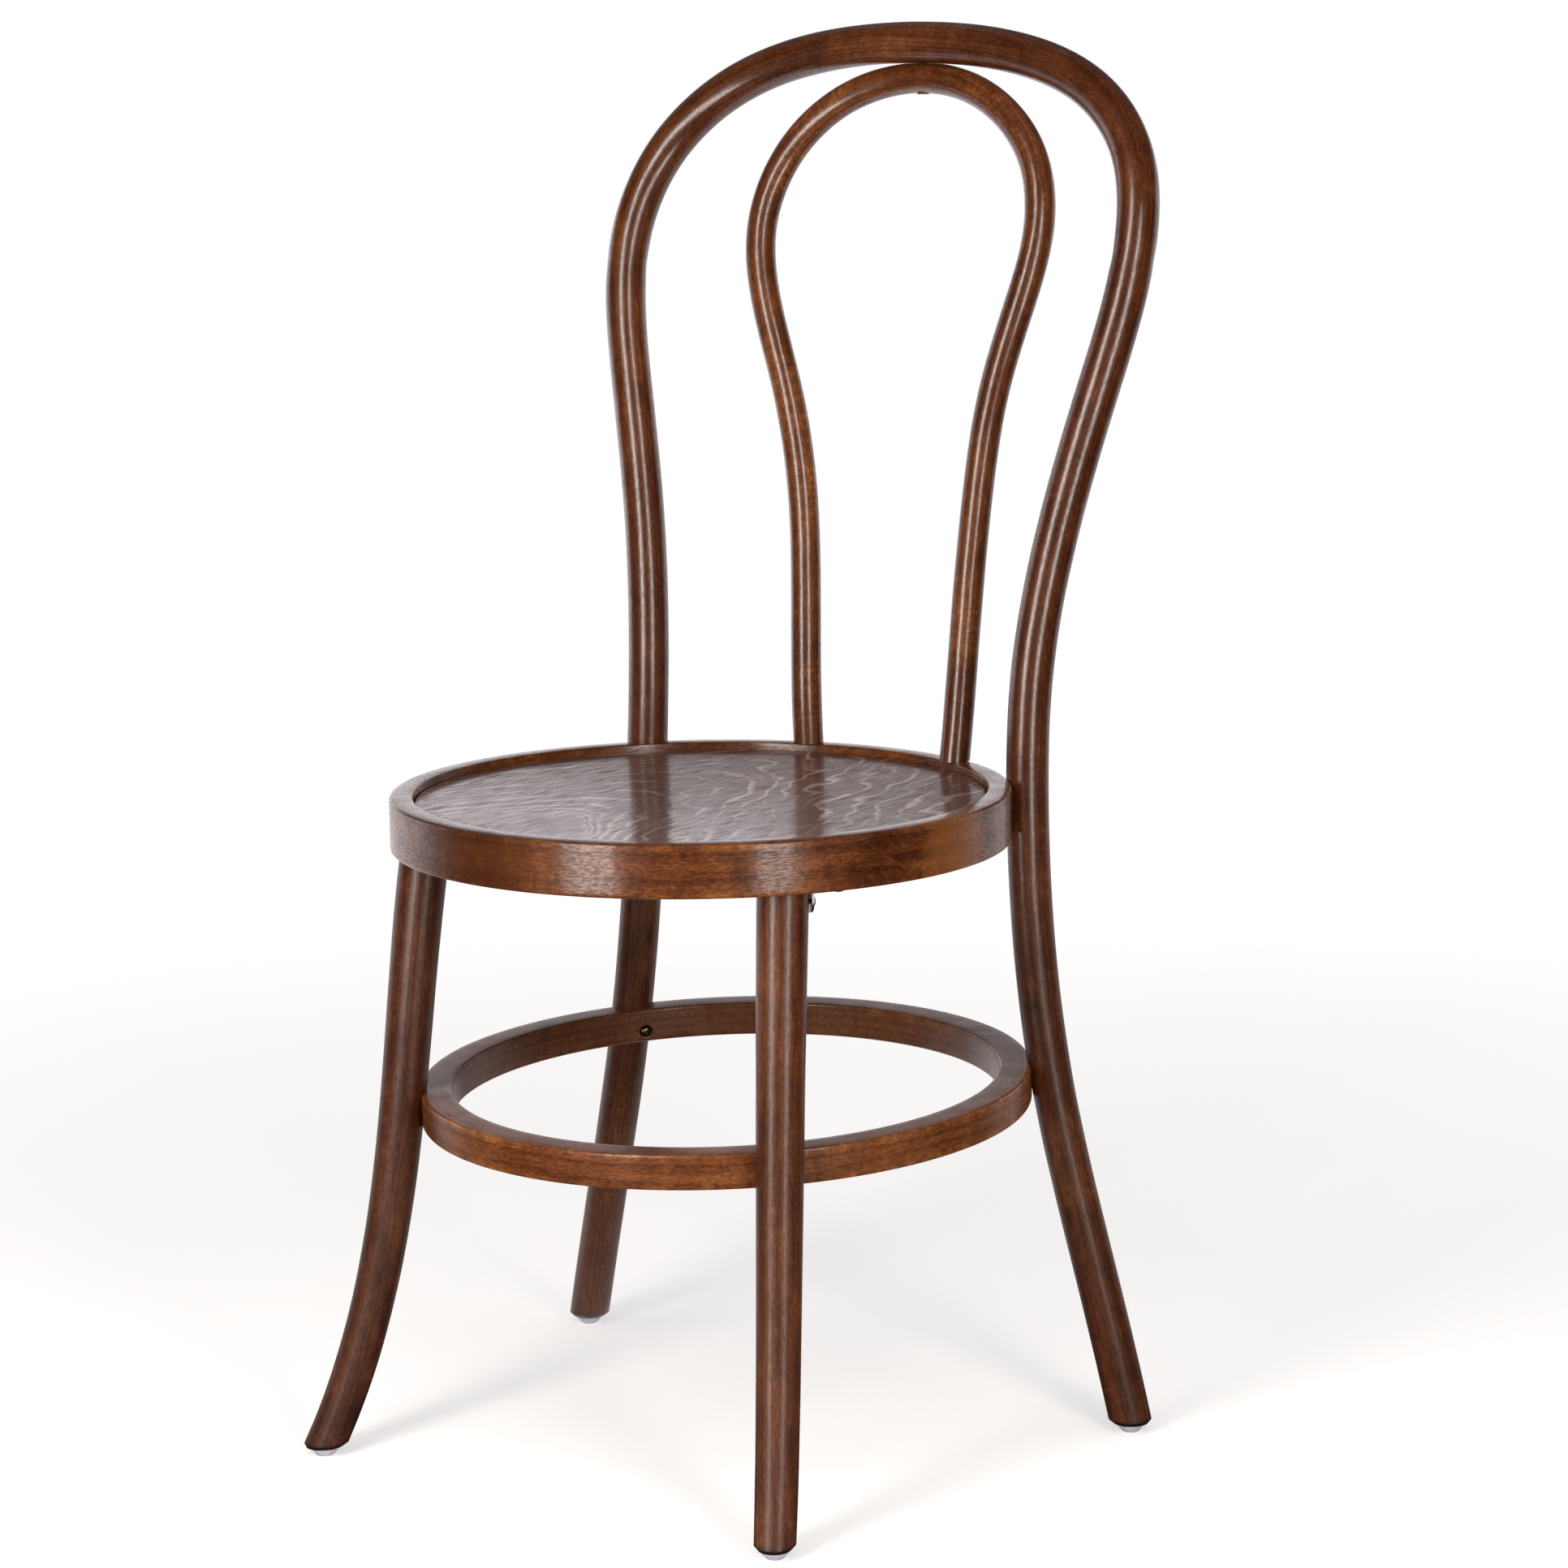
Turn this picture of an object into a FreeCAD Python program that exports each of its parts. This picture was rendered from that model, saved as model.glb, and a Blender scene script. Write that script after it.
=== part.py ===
import FreeCAD, Part
import math
import os

from FreeCAD import Rotation, Vector

# Bentwood side chair in millimetres, front towards -Y, up +Z, floor at z = 0.
# Points are first set out from the seat's centre, and moved to the footprint's centre at the end.

# Seat: a bent ring with a flat rim, and a thin panel sunk into it
seat_height = 440.0
seat_slope = 0.55
seat_radius = 204.5
seat_ring_width = 38.0
seat_ring_height = 34.8
seat_ring_rounding = 2.0
rim_width = 16.5
rim_slant = 1.2
panel_recess = 5.0
panel_thickness = 8.0
panel_rounding = 0.6

# Stretcher hoop: a bent rectangular strip that rises a little to the rear
hoop_top_height = 245.0
hoop_slope = 1.8
hoop_setback = 20.0
hoop_radius = 204.0
hoop_width = 21.0
hoop_height = 23.0
hoop_rounding = 1.8

# Back bow: one rod from foot to foot, rear legs and outer back
bow_rod_radius = 14.2
rear_foot_half_width = 233.5
rear_foot_setback = 153.0
rear_leg_bend_height = 112.0
rear_leg_bend_half_width = 208.0
rear_leg_bend_setback = 148.6
rear_leg_angle_at_hoop = 34.5
rear_leg_angle_at_seat = 42.2
rear_housing_at_hoop = 0.8
rear_housing_at_seat = 1.5
bow_waist = Vector(161.5, 152.0, 69.0)
bow_flare = Vector(172.6, 164.4, 155.5)
bow_rise = Vector(195.4, 181.6, 253.5)
bow_widest = Vector(210.0, 205.5, 347.0)
bow_shoulder = Vector(194.8, 228.0, 402.7)
bow_brow = Vector(152.9, 247.0, 444.6)
bow_crown_side = Vector(80.0, 258.5, 470.5)
bow_crown_setback = 261.5
bow_crown_height = 477.0

# Inner hoop: a thinner rod that stands on the rim a little off centre and meets the bow's crown
inner_rod_radius = 10.5
inner_foot_half_width = 65.0
inner_foot_shift = 13.5
inner_crown_shift = 3.6
inner_waist = Vector(67.8, 196.4, 102.7)
inner_flare = Vector(73.9, 204.5, 178.3)
inner_rise = Vector(87.1, 207.9, 246.3)
inner_side = Vector(106.1, 213.4, 304.6)
inner_widest = Vector(115.3, 225.4, 354.0)
inner_shoulder = Vector(101.3, 241.4, 401.9)
inner_brow = Vector(58.0, 254.5, 440.0)
crown_seating = 0.7

# Front legs: tapered, with a light outward bend towards the foot
front_leg_top_radius = 16.6
front_leg_foot_radius = 13.4
front_leg_inset = 6.3
front_leg_angle_at_seat = -36.0
front_leg_angle_at_hoop = -43.7
front_housing_at_hoop = 2.4
front_leg_bend_height = 139.0
front_leg_bend_half_width = 164.0
front_leg_bend_setback = -143.2
front_leg_ankle_height = 70.0
front_leg_ankle_half_width = 173.7
front_leg_ankle_setback = -159.8
front_foot_half_width = 187.6
front_foot_setback = -183.4
tenon_radius = 10.0
tenon_length = 18.0
foot_chamfer = 2.6

# Glides: bevelled plastic pads, each held by a nail
glide_height = 5.9
glide_radius = 8.2
glide_tread_radius = 5.4
glide_rim_height = 2.6
glide_edge_rounding = 0.5
glide_top_rounding = 0.4
nail_radius = 1.3
nail_length = 18.0
nail_head_radius = 3.8
nail_head_height = 1.0
nail_head_rounding = 0.3

# Domed screws that tie the stretcher hoop to the legs
hoop_screw_radius = 2.3
hoop_screw_head_radius = 4.8
hoop_screw_head_height = 3.2
hoop_screw_head_rounding = 2.8
hoop_screw_grip = 13.0
hoop_screw_drop = 4.2

# Bolts and washers that tie the seat ring to the rear legs
seat_bolt_radius = 3.0
seat_bolt_head_radius = 5.5
seat_bolt_head_height = 4.0
seat_bolt_head_rounding = 1.2
seat_bolt_rise = 11.0
seat_bolt_cover = 8.0
washer_radius = 8.0
washer_thickness = 1.5
spot_face_depth = 1.0
spot_face_margin = 0.6

# Screws up through the ring into the inner hoop's feet
foot_screw_radius = 2.4
foot_screw_head_radius = 4.4
foot_screw_head_height = 2.6
foot_screw_head_rounding = 1.3
foot_screw_sink = 6.0
foot_screw_grip = 26.0

# Screw and plug under the crown
crown_screw_radius = 2.0
crown_screw_head_radius = 3.6
crown_screw_head_height = 2.4
crown_screw_head_rounding = 1.2
crown_screw_sink = 6.5
crown_screw_reach = 4.0
plug_radius = 4.2
plug_height = 3.6
plug_proud = 0.5

# Steel corner brackets beside the front legs
bracket_width = 15.0
bracket_thickness = 1.6
bracket_drop = 16.0
bracket_reach = 26.0
bracket_leg_screw_drop = 8.8
bracket_ring_screw_reach = 18.0
bracket_screw_radius = 1.7
bracket_screw_head_radius = 3.6
bracket_screw_head_height = 2.2
bracket_screw_head_rounding = 1.3
bracket_screw_length = 14.0

# Clearances
glue_gap = 0.1
panel_gap = 0.3
hole_clearance = 0.2

# How far cutting shapes run on into open air
cut_overrun = 10.0

# Steps along a bent rod, each a pair of tangent arcs, and sections along a tapered leg
bow_step_count = 44
inner_step_count = 30
leg_section_count = 9
rod_overrun = 25.0

UP = Vector(0, 0, 1)
ORIGIN = Vector(0, 0, 0)
SIDE = Vector(1, 0, 0)

rim_inner_radius = seat_radius - rim_width
seat_ring_inner_radius = seat_radius - seat_ring_width
hoop_inner_radius = hoop_radius - hoop_width


def polar(radius, angle, height=0.0):
    """Point at a radius and an angle in degrees, counted from +X towards the rear."""
    turn = math.radians(angle)
    return Vector(radius * math.cos(turn), radius * math.sin(turn), height)


def mirrored(shape):
    """The same shape on the other side of the chair."""
    return shape.mirror(ORIGIN, SIDE)


# Seat frame: zero height is the rim's top at the seat's centre, tilted down to the rear
def inSeat(shape):
    placed = shape.copy()
    placed.rotate(ORIGIN, SIDE, -seat_slope)
    placed.translate(UP * seat_height)
    return placed


def seatPoint(point):
    return Rotation(SIDE, -seat_slope).multVec(point) + UP * seat_height


# Stretcher frame: zero height is the hoop's top at its centre, tilted up to the rear
def inHoop(shape):
    placed = shape.copy()
    placed.rotate(ORIGIN, SIDE, hoop_slope)
    placed.translate(Vector(0, hoop_setback, hoop_top_height))
    return placed


def hoopPoint(point):
    return Rotation(SIDE, hoop_slope).multVec(point) + Vector(0, hoop_setback, hoop_top_height)


def bar(radius, start, end):
    """Round bar between two points."""
    axis = end - start
    return Part.makeCylinder(radius, axis.Length, start, axis)


def arcBetween(start, corner, end):
    """Arc from start to end whose tangents meet at the corner, straight where it hardly turns."""
    middle = (start + end) * 0.5
    rise = corner - middle
    half_chord = (end - start).Length / 2
    if rise.Length < half_chord * 1e-4:
        return Part.LineSegment(start, end).toShape()
    half_turn = math.atan2(rise.Length, half_chord)
    on_arc = middle + rise * (math.cos(half_turn) / (1 + math.cos(half_turn)))
    return Part.Arc(start, on_arc, end).toShape()


def arcPair(start, start_tangent, end, end_tangent):
    """Two tangent arcs that leave start and reach end along the given tangents."""
    span = end - start
    both = start_tangent + end_tangent
    bend = 2 * (1 - start_tangent.dot(end_tangent))
    along = span.dot(both)
    if bend < 1e-9:
        reach = span.dot(span) / (2 * along)
    else:
        reach = (math.sqrt(along * along + bend * span.dot(span)) - along) / bend
    first_corner = start + start_tangent * reach
    second_corner = end - end_tangent * reach
    joint = (first_corner + second_corner) * 0.5
    return [arcBetween(start, first_corner, joint), arcBetween(joint, second_corner, end)]


def smoothLine(points):
    """Curve with continuous bend through the guide points."""
    line = Part.BSplineCurve()
    line.interpolate(points)
    return line


def stations(line, count):
    """Evenly spaced points on a curve with their unit tangents."""
    steps = [line.parameterAtDistance(line.length() * i / count) for i in range(count)]
    steps.append(line.LastParameter)
    return [(line.value(u), Vector(*line.tangent(u)[0]).normalize()) for u in steps]


def rod(points, radius, steps):
    """Round rod bent along a smooth curve, running on straight past both ends."""
    marks = stations(smoothLine(points), steps)
    first, first_tangent = marks[0]
    last, last_tangent = marks[-1]
    start = first - first_tangent * rod_overrun
    edges = [Part.LineSegment(start, first).toShape()]
    for (here, here_tangent), (there, there_tangent) in zip(marks, marks[1:]):
        edges += arcPair(here, here_tangent, there, there_tangent)
    edges.append(Part.LineSegment(last, last + last_tangent * rod_overrun).toShape())
    section = Part.Wire(Part.makeCircle(radius, start, first_tangent))
    return Part.Wire(edges).makePipeShell([section], True, False)


def roundedOutline(corners):
    """Closed outline in the XZ plane from corners given as (x, z, rounding)."""
    edges = []
    ends = []
    for i, (x, z, rounding) in enumerate(corners):
        corner = Vector(x, 0, z)
        before = Vector(corners[i - 1][0], 0, corners[i - 1][1])
        after_corner = corners[(i + 1) % len(corners)]
        after = Vector(after_corner[0], 0, after_corner[1])
        back = (before - corner).normalize()
        ahead = (after - corner).normalize()
        opening = back.getAngle(ahead)
        reach = rounding / math.tan(opening / 2)
        ends.append((corner + back * reach, corner, corner + ahead * reach))
    for i, (start, corner, end) in enumerate(ends):
        if (start - end).Length > 1e-6:
            edges.append(arcBetween(start, corner, end))
        following = ends[(i + 1) % len(ends)][0]
        edges.append(Part.LineSegment(end, following).toShape())
    return Part.Wire(edges)


def turned(corners):
    """Solid turned about the Z axis from an outline in the XZ plane."""
    return Part.Face(roundedOutline(corners)).revolve(ORIGIN, UP, 360)


def aimed(shape, point, direction):
    """A solid built along +Z, moved to a point and aimed along a direction."""
    placed = shape.copy()
    placed.Placement = FreeCAD.Placement(point, Rotation(UP, direction)).multiply(placed.Placement)
    return placed


# Guide points of the bent rods, right-hand side
def rearFoot():
    return Vector(rear_foot_half_width, rear_foot_setback, glide_height)


def rearAtHoop():
    reach = hoop_radius + bow_rod_radius - rear_housing_at_hoop
    return hoopPoint(polar(reach, rear_leg_angle_at_hoop, -hoop_height / 2))


def rearAtSeat():
    reach = seat_radius + bow_rod_radius - rear_housing_at_seat
    return seatPoint(polar(reach, rear_leg_angle_at_seat, -seat_ring_height / 2))


def frontFoot():
    return Vector(front_foot_half_width, front_foot_setback, glide_height)


def frontAtHoop():
    top = seat_height - seat_ring_height
    share = (hoop_top_height - hoop_height / 2 - glide_height) / (top - glide_height)
    radius = front_leg_foot_radius + (front_leg_top_radius - front_leg_foot_radius) * share
    reach = hoop_radius + radius - front_housing_at_hoop
    return hoopPoint(polar(reach, front_leg_angle_at_hoop, -hoop_height / 2))


def frontAtSeat():
    reach = seat_radius - front_leg_top_radius - front_leg_inset
    return seatPoint(polar(reach, front_leg_angle_at_seat, -seat_ring_height))


def crownPoint():
    return Vector(0, bow_crown_setback, seat_height + bow_crown_height)


def bowPoints():
    half = [
        rearFoot(),
        Vector(rear_leg_bend_half_width, rear_leg_bend_setback, rear_leg_bend_height),
        rearAtHoop(),
        rearAtSeat(),
    ]
    for guide in (bow_waist, bow_flare, bow_rise, bow_widest, bow_shoulder, bow_brow, bow_crown_side):
        half.append(guide + UP * seat_height)
    other = [Vector(-point.x, point.y, point.z) for point in reversed(half)]
    return half + [crownPoint()] + other


def innerFoot(side):
    """Foot of the inner hoop on the middle of the rim, side is +1 or -1."""
    radius = seat_radius - rim_width / 2
    x = side * inner_foot_half_width + inner_foot_shift
    return Vector(x, math.sqrt(radius * radius - x * x), 0)


def innerCrown():
    drop = bow_rod_radius + inner_rod_radius - crown_seating
    return crownPoint() - UP * drop + SIDE * inner_crown_shift


def innerPoints():
    crown = innerCrown()
    rise = crown.z - seat_height
    halves = []
    for side in (1, -1):
        half = [seatPoint(innerFoot(side))]
        for guide in (inner_waist, inner_flare, inner_rise, inner_side, inner_widest,
                      inner_shoulder, inner_brow):
            shift = inner_foot_shift + (inner_crown_shift - inner_foot_shift) * guide.z / rise
            half.append(Vector(side * guide.x + shift, guide.y, seat_height + guide.z))
        halves.append(half)
    return halves[0] + [crown] + halves[1][::-1]


def frontLegPoints():
    return [
        frontFoot(),
        Vector(front_leg_ankle_half_width, front_leg_ankle_setback, front_leg_ankle_height),
        Vector(front_leg_bend_half_width, front_leg_bend_setback, front_leg_bend_height),
        frontAtHoop(),
        frontAtSeat(),
    ]


# Cutting shapes shared by the pieces that meet
def floorCut():
    reach = seat_radius * 4
    corner = Vector(-reach / 2, -reach / 2, glide_height - reach)
    return Part.makeBox(reach, reach, reach, corner)


def onGlides(legs):
    """Legs cut level above the glides, with their cut ends chamfered."""
    cut = legs.cut(floorCut())
    rims = [edge for edge in cut.Edges if edge.BoundBox.ZMax < glide_height + glue_gap]
    return cut.makeChamfer(foot_chamfer, rims)


def seatHousing():
    height = seat_ring_height + 2 * glue_gap
    return inSeat(Part.makeCylinder(seat_radius + glue_gap, height, UP * (glue_gap - height)))


def hoopHousing():
    height = hoop_height + 2 * glue_gap
    return inHoop(Part.makeCylinder(hoop_radius + glue_gap, height, UP * (glue_gap - height)))


def hoopScrewLine(angle):
    """Head seat and tip of a stretcher screw at one leg."""
    height = -hoop_height / 2 - hoop_screw_drop
    seat = hoopPoint(polar(hoop_inner_radius - glue_gap, angle, height))
    tip = hoopPoint(polar(hoop_radius + hoop_screw_grip, angle, height))
    return seat, tip


def seatBoltLine():
    """Spot face and tip of the bolt into the right rear leg."""
    height = seat_bolt_rise - seat_ring_height
    outer = seat_radius + 2 * bow_rod_radius - rear_housing_at_seat
    seat = polar(seat_ring_inner_radius + spot_face_depth, rear_leg_angle_at_seat, height)
    tip = polar(outer - seat_bolt_cover, rear_leg_angle_at_seat, height)
    return seatPoint(seat), seatPoint(tip)


def footScrewLine(side):
    """Head seat and tip of the screw into one foot of the inner hoop."""
    foot = innerFoot(side)
    seat = foot + UP * (foot_screw_sink - seat_ring_height)
    return seatPoint(seat), seatPoint(foot + UP * foot_screw_grip)


def crownScrewLine():
    crown = innerCrown()
    seat = crown + UP * (crown_screw_sink - inner_rod_radius)
    tip = Vector(crown.x, crown.y, crownPoint().z + crown_screw_reach)
    return seat, tip


def bracketAxes():
    """Top centre of the right front leg and the way along the ring."""
    along = polar(1, front_leg_angle_at_seat + 90)
    reach = seat_radius - front_leg_top_radius - front_leg_inset
    return polar(reach, front_leg_angle_at_seat, -seat_ring_height), along


def bracketScrewLines():
    """Head seats and tips of the two screws of the right bracket."""
    corner, along = bracketAxes()
    face = front_leg_top_radius + glue_gap + bracket_thickness
    leg_seat = corner + along * (face + glue_gap) - UP * bracket_leg_screw_drop
    leg_tip = leg_seat - along * bracket_screw_length
    under = 2 * glue_gap + bracket_thickness
    ring_seat = corner + along * (face + bracket_ring_screw_reach) - UP * under
    ring_tip = ring_seat + UP * bracket_screw_length
    return [(seatPoint(leg_seat), seatPoint(leg_tip)), (seatPoint(ring_seat), seatPoint(ring_tip))]


def hole(line, shank_radius):
    """Clearance hole along a screw's line, a little past both ends."""
    seat, tip = line
    way = (tip - seat).normalize()
    return bar(shank_radius + hole_clearance, seat - way, tip + way * hole_clearance)


# Screws
def screw(line, shank_radius, head_radius, head_height, head_rounding):
    """Screw with its head below the seat of its line, rounded over at its edge."""
    seat, tip = line
    length = (tip - seat).Length
    corners = [
        (0, -head_height, 0),
        (head_radius, -head_height, head_rounding),
        (head_radius, 0, 0),
        (shank_radius, 0, 0),
        (shank_radius, length - shank_radius, 0),
        (0, length, 0),
    ]
    return aimed(turned(corners), seat, tip - seat)


def stretcherScrews():
    pieces = []
    for angle in (front_leg_angle_at_hoop, rear_leg_angle_at_hoop):
        line = hoopScrewLine(angle)
        piece = screw(line, hoop_screw_radius, hoop_screw_head_radius, hoop_screw_head_height,
                      hoop_screw_head_rounding)
        pieces += [piece, mirrored(piece)]
    return Part.makeCompound(pieces)


def seatBolts():
    seat, tip = seatBoltLine()
    inward = (seat - tip).normalize()
    under_head = seat + inward * (washer_thickness + 2 * glue_gap)
    piece = screw((under_head, tip), seat_bolt_radius, seat_bolt_head_radius,
                  seat_bolt_head_height, seat_bolt_head_rounding)
    return Part.makeCompound([piece, mirrored(piece)])


def seatBoltWashers():
    seat, tip = seatBoltLine()
    inward = (seat - tip).normalize()
    start = seat + inward * glue_gap
    disc = bar(washer_radius, start, start + inward * washer_thickness)
    piece = disc.cut(bar(seat_bolt_radius + hole_clearance, start - inward, seat + inward * cut_overrun))
    return Part.makeCompound([piece, mirrored(piece)])


def hoopFootScrews():
    pieces = []
    for side in (1, -1):
        line = footScrewLine(side)
        pieces.append(screw(line, foot_screw_radius, foot_screw_head_radius,
                            foot_screw_head_height, foot_screw_head_rounding))
    return Part.makeCompound(pieces)


def apexScrew():
    line = crownScrewLine()
    return screw(line, crown_screw_radius, crown_screw_head_radius, crown_screw_head_height,
                 crown_screw_head_rounding)


def apexPlug():
    crown = innerCrown()
    bottom = crown - UP * (inner_rod_radius + plug_proud)
    return Part.makeCylinder(plug_radius, plug_height, bottom)


def bracketScrews():
    pieces = []
    for line in bracketScrewLines():
        piece = screw(line, bracket_screw_radius, bracket_screw_head_radius,
                      bracket_screw_head_height, bracket_screw_head_rounding)
        pieces += [piece, mirrored(piece)]
    return Part.makeCompound(pieces)


# Seat
def seatRing():
    ledge = -panel_recess - panel_thickness
    corners = [
        (seat_ring_inner_radius, -seat_ring_height, seat_ring_rounding),
        (seat_radius, -seat_ring_height, seat_ring_rounding),
        (seat_radius, 0, seat_ring_rounding),
        (rim_inner_radius + rim_slant, 0, seat_ring_rounding / 2),
        (rim_inner_radius, ledge, 0),
        (seat_ring_inner_radius, ledge, 0),
    ]
    ring = inSeat(turned(corners))
    cuts = []
    up = seatPoint(UP) - seatPoint(ORIGIN)
    leg_top = frontAtSeat()
    mortise = bar(tenon_radius + glue_gap, leg_top - up, leg_top + up * (tenon_length + glue_gap))
    bolt_seat, bolt_tip = seatBoltLine()
    inward = (bolt_seat - bolt_tip).normalize()
    spot_face = bar(washer_radius + spot_face_margin, bolt_seat, bolt_seat + inward * cut_overrun)
    bolt_hole = hole(seatBoltLine(), seat_bolt_radius)
    bracket_hole = hole(bracketScrewLines()[1], bracket_screw_radius)
    for cut in (mortise, spot_face, bolt_hole, bracket_hole):
        cuts += [cut, mirrored(cut)]
    for side in (1, -1):
        seat, tip = footScrewLine(side)
        cuts.append(hole((seat, tip), foot_screw_radius))
        mouth = seat - up * (foot_screw_sink + cut_overrun)
        cuts.append(bar(foot_screw_head_radius + hole_clearance, mouth, seat))
    return ring.cut(Part.makeCompound(cuts))


def seatPanel():
    bottom = glue_gap - panel_recess - panel_thickness
    radius = rim_inner_radius - panel_gap
    corners = [
        (0, bottom, 0),
        (radius, bottom, 0),
        (radius, -panel_recess, panel_rounding),
        (0, -panel_recess, 0),
    ]
    return inSeat(turned(corners))


# Stretcher
def stretcherHoop():
    corners = [
        (hoop_inner_radius, -hoop_height, hoop_rounding),
        (hoop_radius, -hoop_height, hoop_rounding),
        (hoop_radius, 0, hoop_rounding),
        (hoop_inner_radius, 0, hoop_rounding),
    ]
    hoop = inHoop(turned(corners))
    cuts = []
    for angle in (front_leg_angle_at_hoop, rear_leg_angle_at_hoop):
        cut = hole(hoopScrewLine(angle), hoop_screw_radius)
        cuts += [cut, mirrored(cut)]
    return hoop.cut(Part.makeCompound(cuts))


# Back
def backBow():
    bow = onGlides(rod(bowPoints(), bow_rod_radius, bow_step_count))
    rear_screw = hole(hoopScrewLine(rear_leg_angle_at_hoop), hoop_screw_radius)
    bolt = hole(seatBoltLine(), seat_bolt_radius)
    cuts = [seatHousing(), hoopHousing(), hole(crownScrewLine(), crown_screw_radius)]
    for cut in (rear_screw, bolt, nailHole(rearFoot())):
        cuts += [cut, mirrored(cut)]
    for cut in cuts:
        bow = bow.cut(cut)
    return bow


def innerHoop():
    hoop = rod(innerPoints(), inner_rod_radius, inner_step_count)
    below_rim = inSeat(Part.makeCylinder(seat_radius * 2, seat_ring_height, UP * -seat_ring_height))
    cuts = [below_rim, crownSaddle(), hole(crownScrewLine(), crown_screw_radius)]
    seat, tip = crownScrewLine()
    mouth = seat - UP * (crown_screw_sink + cut_overrun)
    cuts.append(bar(plug_radius + glue_gap, mouth, seat))
    for side in (1, -1):
        cuts.append(hole(footScrewLine(side), foot_screw_radius))
    for cut in cuts:
        hoop = hoop.cut(cut)
    return hoop


def crownSaddle():
    """The bow's crown, grown by the glue gap, that the inner hoop's top is hollowed to."""
    marks = stations(smoothLine(bowPoints()), bow_step_count)
    middle = bow_step_count // 2
    edges = []
    for i in range(middle - 2, middle + 2):
        edges += arcPair(*marks[i], *marks[i + 1])
    start, tangent = marks[middle - 2]
    section = Part.Wire(Part.makeCircle(bow_rod_radius + glue_gap, start, tangent))
    return Part.Wire(edges).makePipeShell([section], True, False)


# Front legs
def frontLeg():
    marks = stations(smoothLine(frontLegPoints()), leg_section_count - 1)
    top, top_tangent = marks[-1]
    marks.append((top + top_tangent * rod_overrun, top_tangent))
    foot, foot_tangent = marks[0]
    marks.insert(0, (foot - foot_tangent * rod_overrun, foot_tangent))
    taper = (front_leg_top_radius - front_leg_foot_radius) / (top.z - foot.z)
    sections = []
    for point, tangent in marks:
        radius = front_leg_foot_radius + taper * (point.z - foot.z)
        sections.append(Part.Wire(Part.makeCircle(radius, point, tangent)))
    leg = onGlides(Part.makeLoft(sections, True, False))
    above = inSeat(Part.makeCylinder(seat_radius * 2, rod_overrun * 2, UP * -(seat_ring_height + glue_gap)))
    leg = leg.cut(above)
    up = seatPoint(UP) - seatPoint(ORIGIN)
    tenon = bar(tenon_radius, top - up * tenon_length / 2, top + up * tenon_length)
    leg = leg.fuse(tenon).removeSplitter()
    cuts = [
        hoopHousing(),
        hole(hoopScrewLine(front_leg_angle_at_hoop), hoop_screw_radius),
        hole(bracketScrewLines()[0], bracket_screw_radius),
        nailHole(frontFoot()),
    ]
    for cut in cuts:
        leg = leg.cut(cut)
    return leg


# Corner brackets
def plate(length):
    """Flat strip from the origin along +X with a half-round end, its screw side down."""
    half = bracket_width / 2
    outline = Part.Wire([
        Part.LineSegment(Vector(0, -half, 0), Vector(length - half, -half, 0)).toShape(),
        Part.Arc(Vector(length - half, -half, 0), Vector(length, 0, 0),
                 Vector(length - half, half, 0)).toShape(),
        Part.LineSegment(Vector(length - half, half, 0), Vector(0, half, 0)).toShape(),
        Part.LineSegment(Vector(0, half, 0), Vector(0, -half, 0)).toShape(),
    ])
    return Part.Face(outline).extrude(-UP * bracket_thickness)


def cornerBracket():
    corner, along = bracketAxes()
    flat = plate(bracket_reach)
    upright = plate(bracket_drop)
    upright.rotate(ORIGIN, Vector(0, 1, 0), 90)
    upright.translate(SIDE * bracket_thickness)
    bracket = flat.fuse(upright).removeSplitter()
    turn = front_leg_angle_at_seat + 90
    bracket.rotate(ORIGIN, UP, turn)
    bracket.translate(corner + along * (front_leg_top_radius + glue_gap) - UP * glue_gap)
    bracket = inSeat(bracket)
    for line in bracketScrewLines():
        bracket = bracket.cut(hole(line, bracket_screw_radius))
    return bracket


# Feet
def nailHole(foot):
    return bar(nail_radius + hole_clearance, foot - UP, foot + UP * (nail_length + hole_clearance))


def glide(foot):
    top = glide_height - glue_gap
    recess = nail_head_height + glue_gap
    corners = [
        (0, 0, 0),
        (glide_tread_radius, 0, glide_edge_rounding),
        (glide_radius, top - glide_rim_height, glide_edge_rounding),
        (glide_radius, top, glide_top_rounding),
        (nail_head_radius + hole_clearance, top, 0),
        (nail_head_radius + hole_clearance, top - recess, 0),
        (0, top - recess, 0),
    ]
    pad = turned(corners)
    pad.translate(Vector(foot.x, foot.y, 0))
    return pad


def glideNails():
    pieces = []
    for foot in (frontFoot(), rearFoot()):
        seat = foot - UP * glue_gap
        tip = foot + UP * nail_length
        piece = screw((seat, tip), nail_radius, nail_head_radius, nail_head_height,
                      nail_head_rounding)
        pieces += [piece, mirrored(piece)]
    return Part.makeCompound(pieces)


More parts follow.
